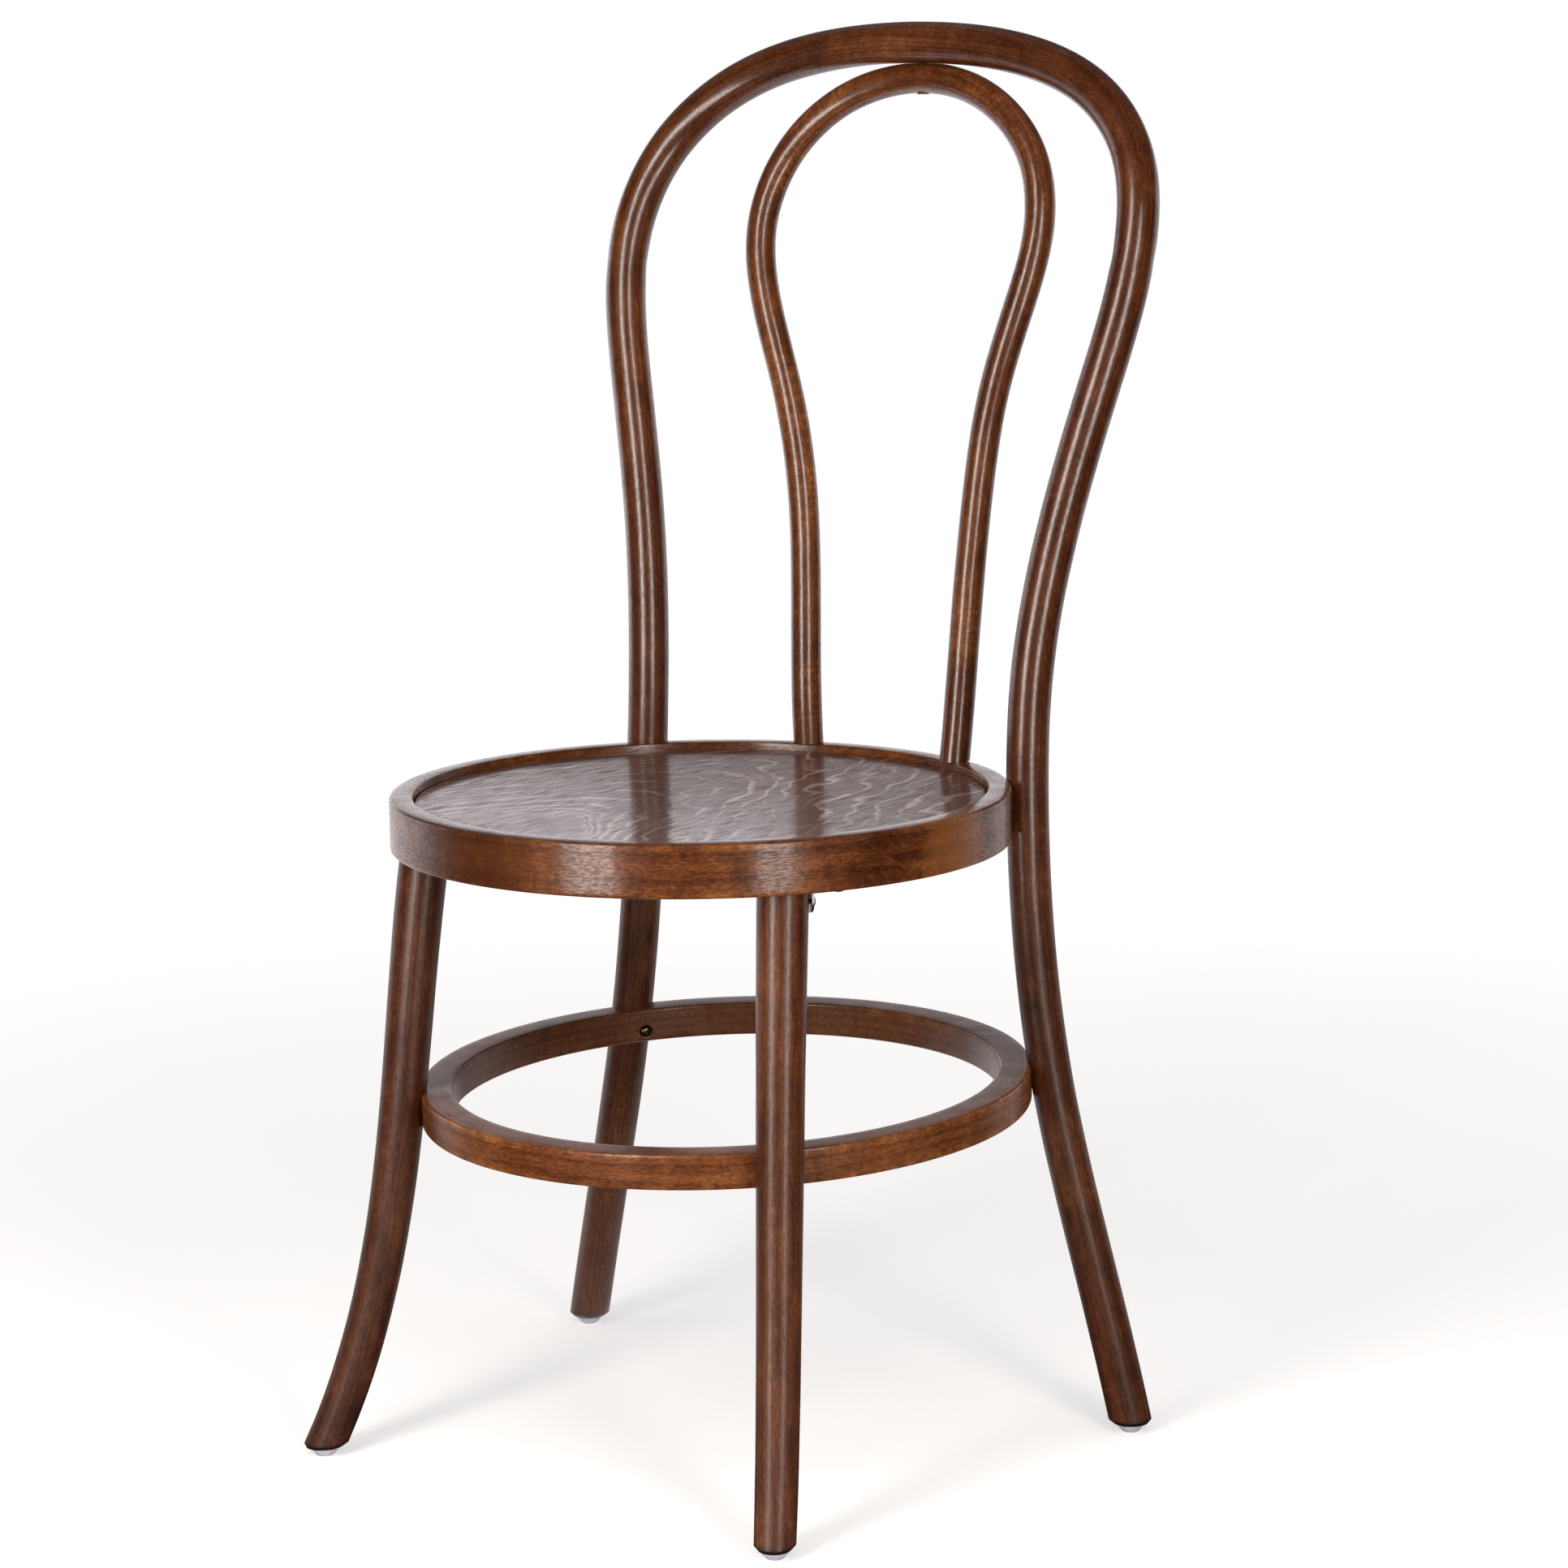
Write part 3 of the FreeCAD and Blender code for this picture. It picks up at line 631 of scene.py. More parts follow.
# Inner hoop: stands on the rim a little off centre and meets the bow's crown
innerLook = {
    "radius": 0.0105,
    "footHalfWidth": 0.065,
    "footShift": 0.0135,
    "crownShift": 0.0036,
    "guides": [
        (0.0678, 0.1964, 0.1027), (0.0739, 0.2045, 0.1783), (0.0871, 0.2079, 0.2463),
        (0.1061, 0.2134, 0.3046), (0.1153, 0.2254, 0.354), (0.1013, 0.2414, 0.4019), (0.058, 0.2545, 0.440),
    ],
    "seating": 0.0007,
    "hollowAbove": 0.87,
    "unevenness": 0.00014,
    "wave": 0.09,
    "segments": 56,
    "spacing": 0.0035,
    "wood": dict(rodLook, seed=8.0, tone=0.51, cloud=0.55, mottle=0.5, flecks=0.2, ripple=0.7,
                 rippleGlow=0.12),
}


def innerFoot(look, side):
    radius = plan["seatRadius"] - plan["rimWidth"] / 2
    x = side * look["footHalfWidth"] + look["footShift"]
    return movedPoint((x, math.sqrt(radius * radius - x * x), 0), seatSpace)


def innerCrown(look):
    drop = bowLook["radius"] + look["radius"] - look["seating"]
    x, y, z = bowLook["crown"]
    return movedPoint((x + look["crownShift"], y, z + plan["seatHeight"] - drop), chairSpace)


def innerGuides(look):
    crown = innerCrown(look)
    rise = crown[2] - plan["seatHeight"]
    halves = []
    for side in (1, -1):
        half = [innerFoot(look, side)]
        for x, y, z in look["guides"]:
            shift = look["footShift"] + (look["crownShift"] - look["footShift"]) * z / rise
            half.append(movedPoint((side * x + shift, y, plan["seatHeight"] + z), chairSpace))
        halves.append(half)
    return np.array(halves[0] + [crown] + halves[1][::-1])


def makeInnerHoop(look):
    line = smoothLine(innerGuides(look), look["spacing"])
    tangents, stops = line[1:]
    radii = look["radius"] - unevenness(look, stops, 4.0)
    rings, grains = rodRings(line, radii, (0, 1, 0), look["segments"])
    for end in (0, -1):
        rings[end] = slideToPlane(rings[end], tangents[end], np.array(seatSpace.translation), -seatUp)
    points, grain = np.concatenate(rings), np.concatenate(grains)
    bow = smoothLine(bowGuides(bowLook), 0.001)[0]
    limit = bowLook["radius"] + plan["glueGap"]
    for i, point in enumerate(points):  # the top is hollowed to the bow's underside
        if point[2] > look["hollowAbove"]:
            gap = point - bow
            nearest = gap[np.argmin((gap**2).sum(1))]
            reach = np.linalg.norm(nearest)
            if reach < limit:
                points[i] = point + nearest / reach * (limit - reach)
    wood = woodMaterial("innerHoopLacquer", look["wood"])
    newPiece("innerHoop", points, skin(rings), wood, ["inner_hoop"], grain)


makeInnerHoop(innerLook)
print("inner hoop made")

# Front legs: tapered, with a light outward bend
legLook = {
    "topRadius": 0.0166,
    "footRadius": 0.0134,
    "inset": 0.0063,
    "atSeat": -36.0,
    "atHoop": (-43.7, 0.0024),
    "bend": (0.164, -0.1432, 0.139),
    "ankle": (0.1737, -0.1598, 0.070),
    "foot": (0.1876, -0.1834),
    "chamfer": 0.0026,
    "unevenness": 0.00012,
    "wave": 0.10,
    "segments": 60,
    "spacing": 0.005,
    "woodRight": dict(rodLook, seed=12.0, tone=0.46, cloud=0.5, roughness=0.38, coat=0.34,
                      coatRoughness=0.20, dull=(0.12, 0.36, 0.50)),
    "woodLeft": dict(rodLook, seed=17.0, tone=0.41, cloud=0.6, mottle=0.6, roughness=0.40, coat=0.20,
                     coatRoughness=0.26, dull=(0.10, 0.36, 0.20)),
}


def legGuides(look):
    top = plan["seatHeight"] - plan["ringHeight"]
    low = plan["glideHeight"]
    share = (plan["hoopTop"] - plan["hoopHeight"] / 2 - low) / (top - low)
    radius = look["footRadius"] + (look["topRadius"] - look["footRadius"]) * share
    angle, housing = look["atHoop"]
    atHoop = polar(plan["hoopRadius"] + radius - housing, angle, -plan["hoopHeight"] / 2)
    reach = plan["seatRadius"] - look["topRadius"] - look["inset"]
    atSeat = polar(reach, look["atSeat"], -plan["ringHeight"])
    lower = moved([(*look["foot"], low), look["ankle"], look["bend"]], chairSpace)
    return np.array([*lower, movedPoint(atHoop, hoopSpace), movedPoint(atSeat, seatSpace)])


def makeFrontLeg(look, side):
    word = "Right" if side > 0 else "Left"
    woodLook = look["wood" + word]
    line = thinned(smoothLine(legGuides(look), look["spacing"]), 1, 0)
    places, tangents, stops = line
    rise = (places[:, 2] - places[0, 2]) / (places[-1, 2] - places[0, 2])
    radii = look["footRadius"] + (look["topRadius"] - look["footRadius"]) * rise
    radii -= unevenness(look, stops, woodLook["seed"])
    rings, grains = rodRings(line, radii, (1, 0, 0), look["segments"])
    cutEnd(rings, grains, tangents[0], look["chamfer"], True)
    under = movedPoint((0, 0, -plan["ringHeight"] - plan["glueGap"]), seatSpace)
    rings[-1] = slideToPlane(rings[-1], tangents[-1], under, seatUp)
    points, grain = np.concatenate(rings) * (side, 1, 1), np.concatenate(grains)
    faces = skin(rings)
    if side < 0:
        faces = [tuple(reversed(face)) for face in faces]
    wood = woodMaterial("frontLegLacquer" + word, dict(woodLook, length=stops[-1]))
    newPiece("frontLeg" + word, points, faces, wood, ["front_leg_" + word.lower()], grain)


makeFrontLeg(legLook, 1)
makeFrontLeg(legLook, -1)
print("front legs made")

# Seat ring: a bent band with a flat rim, its ends joined by a slanting lap
ringLook = {
    "width": 0.038,
    "rounding": 0.002,
    "rimSlant": 0.0012,
    "crown": 0.0005,  # the rim is sanded a little lower towards both its edges
    "crownDepth": 0.0012,  # and this much below the rim the sanding ends
    "panelRecess": 0.005,
    "panelThickness": 0.008,
    "turns": 288,
    "longest": 0.003,
    "lapAngle": -17.0,  # where the lap lies, degrees from +X
    "lap": {"across": 1, "slant": -1.35, "width": 0.0006, "strength": 0.35, "color": (0.21, 0.080, 0.024)},
    "wood": {
        "seed": 21.0, "tone": 0.52, "pith": (0.030, 0.052), "ringsPerMetre": 130,
        "cloud": 0.70, "mottle": 0.42, "late": 0.14, "pores": 0.16, "flecks": 0.14, "speck": 0.20,
        "streak": 0.60, "streakStretch": (130, 130, 10), "ripple": 0.5, "rippleGlow": 0.10, "edgeWear": 0.10,
        "roughness": 0.34, "ior": 1.35, "coat": 0.60, "coatRoughness": 0.165, "topFilm": 1.6, "sparkle": 0.8,
        "swell": 0.0006, "relief": 0.000015, "peel": 0.00009,
        "marks": [
            ((0.2045, -0.033, 0.423), 0.040, 0.55, (0.300, 0.105, 0.026)),
            ((-0.036, -0.2368, 0.424), 0.075, 0.72, (0.050, 0.012, 0.0022)),
            ((0.020, -0.2389, 0.418), 0.045, 0.40, (0.066, 0.018, 0.004)),
        ],
    },
}


def lapped(look, outline, angle, shift=0.0):
    # the wood's look, with its lap at an angle round the ring
    around = 2 * math.pi * (sum(p[0] for p in outline) / len(outline))
    return dict(look["wood"], scarf=dict(look["lap"], start=angle / 360 * around + shift, length=around))


def makeSeatRing(look):
    ledge = -look["panelRecess"] - look["panelThickness"]
    outer = plan["seatRadius"]
    inner = outer - look["width"]
    rim = outer - plan["rimWidth"]
    low, soft = -plan["ringHeight"], look["rounding"]
    corners = [(inner, low, soft), (outer, low, soft), (outer, 0, soft),
               (rim + look["rimSlant"], 0, soft / 2), (rim, ledge, 0), (inner, ledge, 0)]
    outline = subdivided(roundedOutline(corners), look["longest"])
    half = plan["rimWidth"] / 2
    for point in outline:
        if point[1] > -look["crownDepth"]:
            point[1] -= look["crown"] * ((point[0] - outer + half) / half) ** 2
    halfWay = look["lap"]["slant"] * plan["ringHeight"] / 2
    wood = woodMaterial("seatRingLacquer", lapped(look, outline, look["lapAngle"] % 360, halfWay))
    lathe("seatRing", outline, seatSpace, look["turns"], wood, ["seat_ring"])


makeSeatRing(ringLook)
print("seat ring made")

# Seat panel: thin veneered disc sunk into the ring
panelLook = {
    "gap": 0.0003,
    "recess": 0.005,
    "bottom": 0.0129,
    "rounding": 0.0006,
    "turns": 160,
    "middle": 0.012,
    "eye": (-0.028, -0.095),  # where the figure's arches start
    "turn": 5.0,
    "right": (3.27, 0.166),  # how steeply the arches fall away, how blunt their tops are
    "left": (2.0, 0.115),
    "firstArch": 0.0143,
    "nearCrowding": 1.49,  # the arches stand closer together near the eye
    "farSpacing": 0.076,
    "leastDepth": 0.004,
    "waver": 0.03,
    "deep": 0.16,  # how far from the eye the arches waver most
    "slowWaver": (0.018, 0.10),
    "quickWaver": (0.008, 0.030),
    "lineWidth": 0.0050,
    "widestShare": 0.40,
    "slopeWidening": 0.40,
    "lines": ((0.0, 1.0), (0.47, 0.55)),  # a broad line and a narrow one in each year
    "fades": ((1.5, 0.1), (0.45, 0.05)),  # behind a line and ahead of it, in line widths
    "broadStrength": (0.36, 0.62, 0.14, 0.85),
    "narrowStrength": (0.56, 0.38, 0.0, 0.42),
    "narrowFrom": (0.05, 0.12),
    "color": [(0, (0.040, 0.012, 0.006)), (0.35, (0.105, 0.040, 0.026)), (1, (0.410, 0.290, 0.245))],
    "toneOf": {"line": 0.72, "silk": 0.62, "pores": -0.20, "cloud": 0.35},
    "roughness": 0.40,
    "roughnessOf": {"line": -0.06, "pores": 0.16},
    "ior": 1.5,
    "coat": 0.87,
    "coatRoughness": 0.13,
    "rearCoat": 0.38,
    "rearFrom": (-0.16, 0.12),
    "rearLean": 0.3,  # the wear reaches further forward towards +X
    "coatOf": {"base": 0.97, "line": 0.30, "pores": -0.40, "silk": 0.30},
    "dish": 0.05,  # sat-in hollow: its slope per metre from the middle
    "swellDepth": 0.0005,
    "poreDepth": 0.00004,
    "lineRise": 0.3,
}
panelTraits = {
    "slow": {"stretch": (20, 11, 1), "detail": 2},
    "quick": {"stretch": (58, 30, 1), "detail": 2},
    "strength": {"stretch": (22, 9, 1), "detail": 2},
    "pores": {"stretch": (620, 34, 1), "detail": 3, "roughness": 0.6, "limits": (0.50, 0.64)},
    "silk": {"stretch": (300, 13, 1), "detail": 4, "roughness": 0.65},
    "cloud": {"stretch": (10, 6, 1), "detail": 3},
    "swell": {"stretch": (16, 16, 1), "detail": 1},
}


def turned(x, y, angle):
    # the same point seen from axes turned by an angle: across, along
    c, s = math.cos(angle), math.sin(angle)
    across = plus(times(x, c), times(y, s))
    along = plus(times(x, -s), times(y, c))
    return across, along


def archLines(x, y, slow, quick, strength, look):
    # flat-sawn arches: rings cut lengthwise make blunt curves with long legs
    eyeX, eyeY = look["eye"]
    across, along = turned(minus(x, eyeX), minus(y, eyeY), math.radians(look["turn"]))
    across = plusShare(across, slow, look["waver"])
    onRight = calc("GREATER_THAN", across, 0.0)
    steep, blunt = (span(onRight, 0, 1, *ends, smooth=False) for ends in zip(look["left"], look["right"]))
    sideways = times(across, steep)
    fall = diagonal(sideways, blunt)
    depth = plus(along, minus(fall, blunt))
    for value, key in ((slow, "slowWaver"), (quick, "quickWaver")):
        depth = plusShare(depth, value, span(depth, 0.0, look["deep"], *look[key]))
    depth = calc("MAXIMUM", plus(depth, look["firstArch"]), look["leastDepth"])
    crowding = times(calc("LOGARITHM", depth, math.e), look["nearCrowding"])
    year = plus(crowding, over(depth, look["farSpacing"]))
    pace = plus(over(look["nearCrowding"], depth), 1 / look["farSpacing"])
    slope = over(times(sideways, steep), fall)
    width = calc("SQRT", plusShare(1.0, times(slope, slope), look["slopeWidening"]))
    width = times(width, look["lineWidth"])
    width = calc("MINIMUM", width, over(look["widestShare"], pace))
    lines = []
    tail, front = look["fades"]
    for phase, share in look["lines"]:
        part = calc("FRACT", plus(year, phase))
        ownWidth = times(width, share)
        behind = over(over(part, pace), ownWidth)
        ahead = over(over(minus(1.0, part), pace), ownWidth)
        lines.append(calc("MAXIMUM", span(behind, *tail), span(ahead, *front)))
    broad = times(lines[0], span(strength, *look["broadStrength"]))
    narrow = times(lines[1], span(strength, *look["narrowStrength"]))
    narrow = times(narrow, span(depth, *look["narrowFrom"]))
    return calc("MAXIMUM", broad, narrow)


def panelMaterial(look):
    material, tree, shader = newMaterial("seatPanelVeneer")
    flat = attribute(tree, "grain", "Vector")
    x, y = split(flat)[:2]

    def draw(trait, *shift):
        return noise(flat, panelTraits[trait], shift)

    slow, quick = centred(draw("slow", 4, 2, 0)), centred(draw("quick", 1, 9, 0))
    line = archLines(x, y, slow, quick, draw("strength", 8, 3, 0), look)
    pores, silk, cloud = draw("pores", 0, 0, 0), draw("silk", 3, 3, 0), draw("cloud", 5, 5, 0)
    share = look["toneOf"]
    tone = plusShare(times(silk, share["silk"]), line, share["line"])
    tone = plusShare(tone, pores, share["pores"])
    tone = plusShare(tone, centred(cloud), share["cloud"], clamp=True)
    color = ramp(tone, look["color"])
    share = look["roughnessOf"]
    rough = plusShare(plusShare(look["roughness"], line, share["line"]), pores, share["pores"])
    # the film is worn towards the rear and broken by open pores
    share = look["coatOf"]
    worn = plusShare(y, x, look["rearLean"])
    film = span(worn, *look["rearFrom"], look["coat"], look["coat"] * look["rearCoat"])
    film = times(film, plusShare(plusShare(share["base"], line, share["line"]), pores, share["pores"]))
    film = plusShare(film, centred(silk), share["silk"], clamp=True)
    setAll(shader, {
        "Base Color": color, "Roughness": rough, "IOR": look["ior"],
        "Coat Weight": film, "Coat Roughness": look["coatRoughness"],
    })
    reach = vectorCalc("LENGTH", flat)
    hollow = times(times(reach, reach), look["dish"])
    fine = minus(times(line, look["lineRise"]), pores)
    swell = draw("swell", 2, 2, 0)
    bumped(shader, (hollow, 1.0, 1.0), (swell, look["swellDepth"], 1.0), (fine, look["poreDepth"], 1.0))
    return material


def makePanel(look):
    radius = plan["seatRadius"] - plan["rimWidth"] - look["gap"]
    top, low = -look["recess"], -look["bottom"]
    outline = [(r, top) for r in np.linspace(look["middle"], radius - look["rounding"], 15)]
    for turn in (math.pi / 2 * k / 3 for k in (1, 2, 3)):
        r = radius - look["rounding"] * (1 - math.sin(turn))
        outline.append((r, top - look["rounding"] * (1 - math.cos(turn))))
    outline += [(radius, low), (radius * 0.9, low), (look["middle"], low)]
    count = look["turns"]
    turns = np.arange(count) * 2 * math.pi / count
    rings = [np.stack([r * np.cos(turns), r * np.sin(turns), np.full(count, z)], 1) for r, z in outline]
    flat = np.concatenate(rings)
    faces = [tuple(reversed(face)) for face in skin(rings)]
    points, veneer = moved(flat, seatSpace), panelMaterial(look)
    newPiece("seatPanel", points, faces, veneer, ["seat_panel"], flat, sharp=50)


makePanel(panelLook)
print("seat panel made")

# Stretcher hoop: a bent rectangular strip, closed by a long lap across its width
stretcherLook = {
    "rounding": 0.0018,
    "turns": 256,
    "longest": 0.006,
    "lapAngle": 217.0,
    "lap": {"across": 0, "slant": -4.6, "width": 0.0016, "strength": 0.75, "color": (0.022, 0.008, 0.003)},
    "wood": {
        "seed": 33.0, "tone": 0.66, "pith": (0.018, 0.040), "ringsPerMetre": 190,
        "cloud": 0.42, "mottle": 0.24, "late": 0.12, "pores": 0.15, "flecks": 0.12, "speck": 0.18,
        "streak": 0.42, "streakStretch": (170, 170, 7), "ripple": 0.4, "rippleGlow": 0.08, "edgeWear": 0.12,
        "roughness": 0.36, "ior": 1.40, "coat": 0.20, "coatRoughness": 0.26, "topFilm": 3.4, "sparkle": 0.7,
        "swell": 0.0006, "relief": 0.000015, "peel": 0.00005,
        # painted shade on the inner side under the seat: where it starts, how strong, its colour
        "innerShadePainted": (-0.0085, 0.5, (0.062, 0.024, 0.013)),
    },
}


def makeStretcher(look):
    outer = plan["hoopRadius"]
    inner = outer - plan["hoopWidth"]
    low = -plan["hoopHeight"]
    corners = [(x, z, look["rounding"]) for x, z in ((inner, low), (outer, low), (outer, 0), (inner, 0))]
    outline = subdivided(roundedOutline(corners), look["longest"])
    wood = woodMaterial("stretcherLacquer", lapped(look, outline, look["lapAngle"]))
    lathe("stretcherHoop", outline, hoopSpace, look["turns"], wood, ["stretcher_hoop"])


makeStretcher(stretcherLook)
print("stretcher hoop made")

# Metal and plastic fittings
fittingLook = {
    "bronze": {"dark": (0.09, 0.06, 0.04), "light": (0.23, 0.15, 0.09), "roughness": 0.20, "cloud": 240},
    "zinc": {"dark": (0.42, 0.41, 0.38), "light": (0.66, 0.65, 0.62), "roughness": 0.34, "cloud": 180},
    "steel": {"dark": (0.38, 0.38, 0.38), "light": (0.60, 0.60, 0.59), "roughness": 0.32, "cloud": 200},
    "nylon": {"dark": (0.70, 0.68, 0.80), "light": (0.80, 0.79, 0.88), "roughness": 0.34, "cloud": 160,
              "scuffs": 0.18, "scuffColor": (0.45, 0.43, 0.46), "glow": 0.12, "glowDepth": 0.002},
    "plug": {"dark": (0.060, 0.017, 0.004), "light": (0.125, 0.038, 0.010), "roughness": 0.35},
}
fittingTraits = {
    "cloud": {"detail": 4, "roughness": 0.6},
    "metalGrit": {"scale": 2600, "detail": 3, "roughness": 0.7},
    "metalScratch": {"stretch": (4000, 4000, 260), "detail": 2},
    "nylonGrit": {"scale": 3200, "detail": 2, "roughness": 0.6},
    "nylonScuff": {"stretch": (900, 900, 900), "detail": 3, "limits": (0.55, 0.75)},
    "plugRings": {"stretch": (700, 240, 240), "detail": 3},
    "plugPores": {"scale": 2600, "detail": 2, "limits": (0.55, 0.7)},
}


def metalMaterial(name, look):
    material, tree, shader = newMaterial(name)
    place = objectPlace(tree)
    cloud = noise(place, dict(fittingTraits["cloud"], scale=look["cloud"]))
    grit = noise(place, fittingTraits["metalGrit"])
    scratch = noise(place, fittingTraits["metalScratch"])
    color = ramp(span(cloud, 0.32, 0.68), [(0, look["dark"]), (1, look["light"])])
    rough = plusShare(plusShare(look["roughness"] - 0.12, cloud, 0.12), grit, 0.14)
    setAll(shader, {"Base Color": color, "Roughness": rough, "Metallic": 1.0})
    bumped(shader, (grit, 0.00004, 0.6), (scratch, 0.00003, 0.5))
    return material


def glideMaterial(look):
    material, tree, shader = newMaterial("glideNylon")
    place = objectPlace(tree)
    cloud = noise(place, dict(fittingTraits["cloud"], scale=look["cloud"]))
    grit = noise(place, fittingTraits["nylonGrit"])
    scuff = noise(place, fittingTraits["nylonScuff"])
    color = ramp(cloud, [(0.3, look["dark"]), (0.7, look["light"])])
    color = blended(times(scuff, look["scuffs"]), color, look["scuffColor"])
    setAll(shader, {
        "Base Color": color, "Roughness": plusShare(look["roughness"], scuff, 0.2), "IOR": 1.5,
        "Subsurface Weight": look["glow"], "Subsurface Radius": (look["glowDepth"],) * 3,
    })
    bumped(shader, (cloud, 0.0001, 0.5), (grit, 0.00003, 0.5))
    return material


def plugMaterial(look):
    material, tree, shader = newMaterial("plugWood")
    place = objectPlace(tree)
    rings = noise(place, fittingTraits["plugRings"])
    pores = noise(place, fittingTraits["plugPores"])
    tone = plusShare(rings, pores, -0.3)
    color = ramp(tone, [(0.2, look["dark"]), (0.7, look["light"])])
    setAll(shader, {"Base Color": color, "Roughness": plusShare(look["roughness"], rings, 0.2)})
    bumped(shader, (tone, 0.00008, 0.8))
    return material


fittings = (
    (metalMaterial("bronzedScrew", fittingLook["bronze"]), ("bracket_screws", "stretcher_screws")),
    (metalMaterial("zincPlate", fittingLook["zinc"]), ("corner_bracket_right", "corner_bracket_left")),
    (metalMaterial("plainSteel", fittingLook["steel"]),
     ("glide_nails", "seat_bolts", "seat_bolt_washers", "hoop_foot_screws", "apex_screw")),
    (glideMaterial(fittingLook["nylon"]),
     ("glide_front_right", "glide_front_left", "glide_rear_right", "glide_rear_left")),
    (plugMaterial(fittingLook["plug"]), ("apex_plug",)),
)
for material, nodeNames in fittings:
    for nodeName in nodeNames:
        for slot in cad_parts[nodeName].material_slots:
            slot.material = material
print("fittings finished")

# Studio: pale floor, white surroundings for the camera, two tall soft boxes beside it, a pale sweep behind
studioLook = {
    "floorSize": 9.0,
    "floorColor": (0.86, 0.86, 0.87, 1),
    "floorOwnLight": (0.50, 0.86),  # beside the chair and far off
    "floorShare": 0.72,
    "roomFill": 0.20,
    "sweepColor": (1.0, 0.95, 0.985),
    "sweepLight": 1.22,  # how bright the sweep behind the chair looks in the lacquer
    "sweepFades": (0.10, 0.55),
    "sweepTop": (0.31, 0.15, 0.10),  # where it ends, where it is full, and what is left above it
    "sweepBalance": (0.66, 1.10),  # right and left
    "darkSide": 0.025,  # the room beside and behind the camera
    "seenFrom": 0.35,  # height in the chair from which the floor is mirrored
    "lampColor": (1.0, 0.93, 0.87),
    "boxes": [  # name, degrees from the camera's side, distance, height, width, tall, radiance, seen in gloss
        ("boxLeft", -38, 1.32, 1.22, 0.38, 2.14, 7.8, True),
        ("boxRight", 24, 1.80, 1.08, 0.40, 2.06, 6.6, True),
        ("overhead", 10, 0.5, 2.60, 1.8, 1.8, 0.9, False),
        ("sideLeft", -95, 2.2, 1.20, 1.0, 1.4, 0.6, False),
        ("sideRight", 100, 2.2, 1.20, 1.0, 1.4, 0.6, False),
    ],
}
# The camera stands where the photograph was taken from
cameraLook = {
    "azimuth": 37.99,
    "distance": 1.03 * 3.03134,
    "height": 1.03 * 0.97193,
    "pan": -1.01,
    "pitch": -10.16,
    "roll": -1.18,
    "focal": 5938.84,  # in pixels of a frame 1932 wide
    "frameWidth": 1932,
    "sensor": 36.0,
}


def background(tree, color, strength):
    return fed(tree.nodes.new("ShaderNodeBackground"), ((*color, 1), strength))


def mixShader(*values):
    # factor, first shader, second shader
    return fed(newNode("ShaderNodeMixShader", values), values)


def lightPath(tree):
    # whether the surroundings are seen outright, and whether they are mirrored
    rays = tree.nodes.new("ShaderNodeLightPath").outputs
    return calc("MAXIMUM", rays["Is Camera Ray"], rays["Is Transmission Ray"]), rays["Is Glossy Ray"]


def sweepLevel(vector, look):
    # bright behind the chair, a little more to the left, and dark beside the camera
    azimuth = math.radians(cameraLook["azimuth"])
    behind, left = (-math.sin(azimuth), math.cos(azimuth), 0), (-math.cos(azimuth), -math.sin(azimuth), 0)
    away = vectorCalc("DOT_PRODUCT", vector, behind)
    away = span(away, *look["sweepFades"], look["darkSide"], look["sweepLight"])
    side = span(vectorCalc("DOT_PRODUCT", vector, left), -0.3, 0.3, *look["sweepBalance"])
    return times(away, side)


def makeRoom(look):
    world = bpy.data.worlds.new("studioRoom")
    bpy.context.scene.world = world
    world.use_nodes = True
    tree = world.node_tree
    tree.nodes.clear()
    seen, mirrored = lightPath(tree)
    way = tree.nodes.new("ShaderNodeTexCoord").outputs["Generated"]
    end, full, left = look["sweepTop"]
    level = times(sweepLevel(way, look), span(split(way)[2], end, full, left, 1.0))
    fill = background(tree, (1, 1, 1), look["roomFill"])
    shader = mixShader(mirrored, fill, background(tree, look["sweepColor"], level))
    shader = mixShader(seen, shader, background(tree, (1, 1, 1), 1.0))
    put(tree.nodes.new("ShaderNodeOutputWorld").inputs[0], shader)


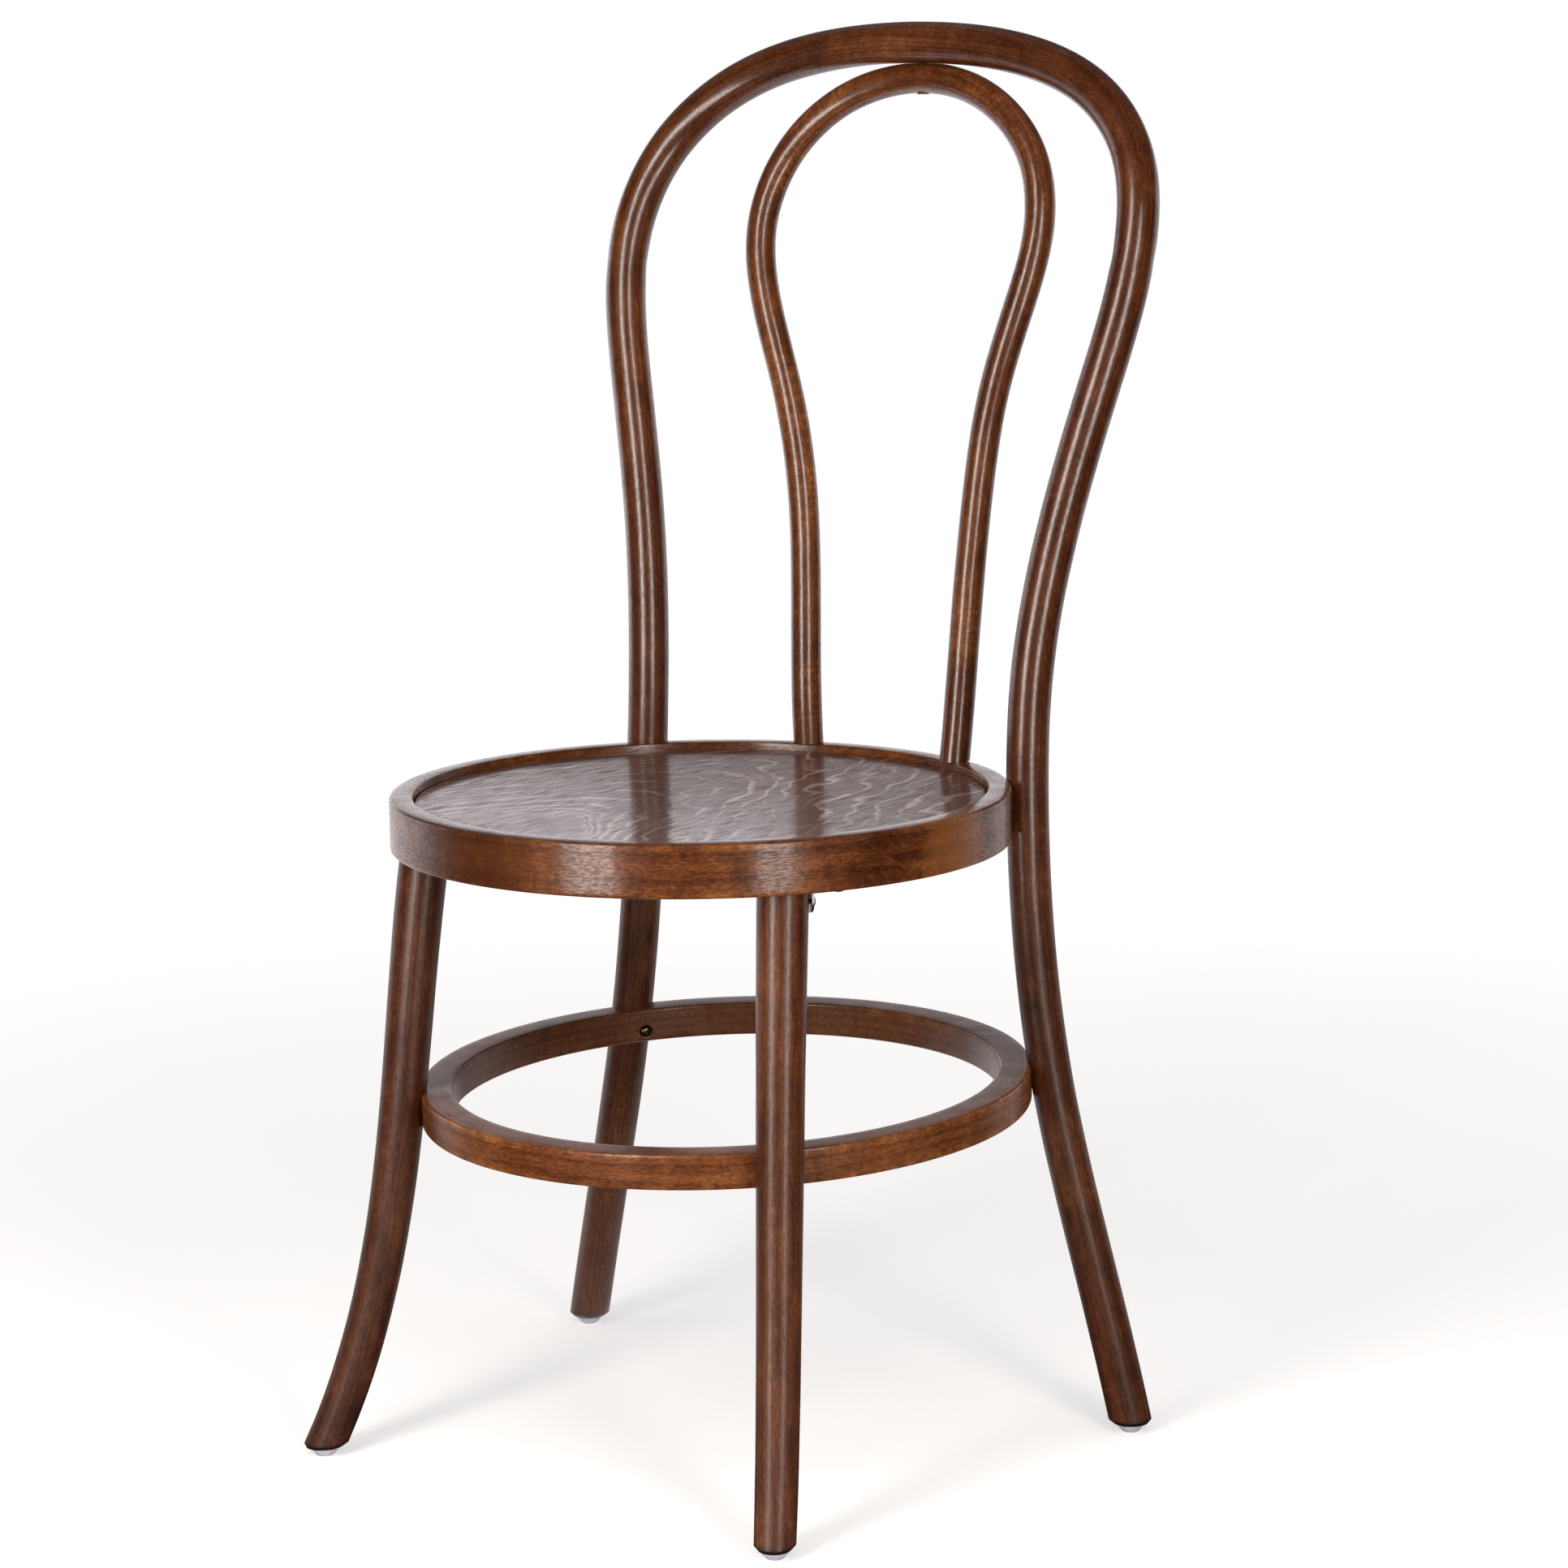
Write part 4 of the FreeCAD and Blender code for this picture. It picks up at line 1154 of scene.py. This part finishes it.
def makeFloor(look):
    half = look["floorSize"] / 2
    mesh = bpy.data.meshes.new("studioFloor")
    corners = [(x * half, y * half, 0) for x, y in ((-1, -1), (1, -1), (1, 1), (-1, 1))]
    mesh.from_pydata(corners, [], [(0, 1, 2, 3)])
    floor = newObject("studioFloor", mesh)
    material, tree, shader = newMaterial("paleFloor")
    mesh.materials.append(material)
    seen, mirrored = lightPath(tree)
    place = objectPlace(tree)
    own = span(vectorCalc("LENGTH", place), 0.5, 2.6, *look["floorOwnLight"])
    setAll(shader, {
        "Base Color": look["floorColor"], "Roughness": 0.9, "Specular IOR Level": 0.0,
        "Emission Color": (1, 1, 1, 1), "Emission Strength": times(seen, own),
    })
    way = vectorCalc("NORMALIZE", vectorCalc("ADD", place, (0, 0, look["seenFrom"])))
    level = times(sweepLevel(way, look), look["floorShare"])
    glow = fed(tree.nodes.new("ShaderNodeEmission"), ((*look["sweepColor"], 1), level))
    shown = mixShader(mirrored, shader.outputs[0], glow)
    put(tree.nodes["Material Output"].inputs[0], shown)


def softBox(name, turn, distance, height, width, tall, radiance, inGloss):
    way = math.radians(cameraLook["azimuth"] + turn)
    lamp = bpy.data.lights.new(name, "AREA")
    lamp.shape, lamp.size, lamp.size_y = "RECTANGLE", width, tall
    lamp.energy = radiance * math.pi * width * tall
    lamp.color = studioLook["lampColor"]
    holder = newObject(name, lamp)
    holder.location = (distance * math.sin(way), -distance * math.cos(way), height)
    aim = Vector((0, plan["forward"], min(height, 1.2)))
    holder.rotation_euler = (aim - holder.location).to_track_quat("-Z", "Y").to_euler()
    holder.visible_camera = False
    holder.visible_glossy = inGloss


def makeCamera(look):
    azimuth, pan, pitch, roll = (math.radians(look[k]) for k in ("azimuth", "pan", "pitch", "roll"))
    heading = azimuth + pan
    level = math.cos(pitch)
    ahead = Vector((-math.sin(heading) * level, math.cos(heading) * level, math.sin(pitch)))
    right = Vector((math.cos(heading), math.sin(heading), 0))
    up = right.cross(ahead)
    leanRight = right * math.cos(roll) + up * math.sin(roll)
    leanUp = up * math.cos(roll) - right * math.sin(roll)
    turn = Matrix((leanRight, leanUp, -ahead)).transposed().to_4x4()
    camera = bpy.data.cameras.new("photoCamera")
    camera.sensor_fit = "HORIZONTAL"
    camera.sensor_width = look["sensor"]
    camera.lens = look["focal"] / look["frameWidth"] * look["sensor"]
    camera.clip_start, camera.clip_end = 0.05, 60
    holder = newObject("photoCamera", camera)
    x, y = look["distance"] * math.sin(azimuth), -look["distance"] * math.cos(azimuth)
    holder.matrix_world = Matrix.Translation((x, y + plan["forward"], look["height"])) @ turn
    bpy.context.scene.camera = holder


makeCamera(cameraLook)
makeRoom(studioLook)
makeFloor(studioLook)
for box in studioLook["boxes"]:
    softBox(*box)
bpy.context.scene.view_settings.view_transform = "Standard"
print("studio and camera set")
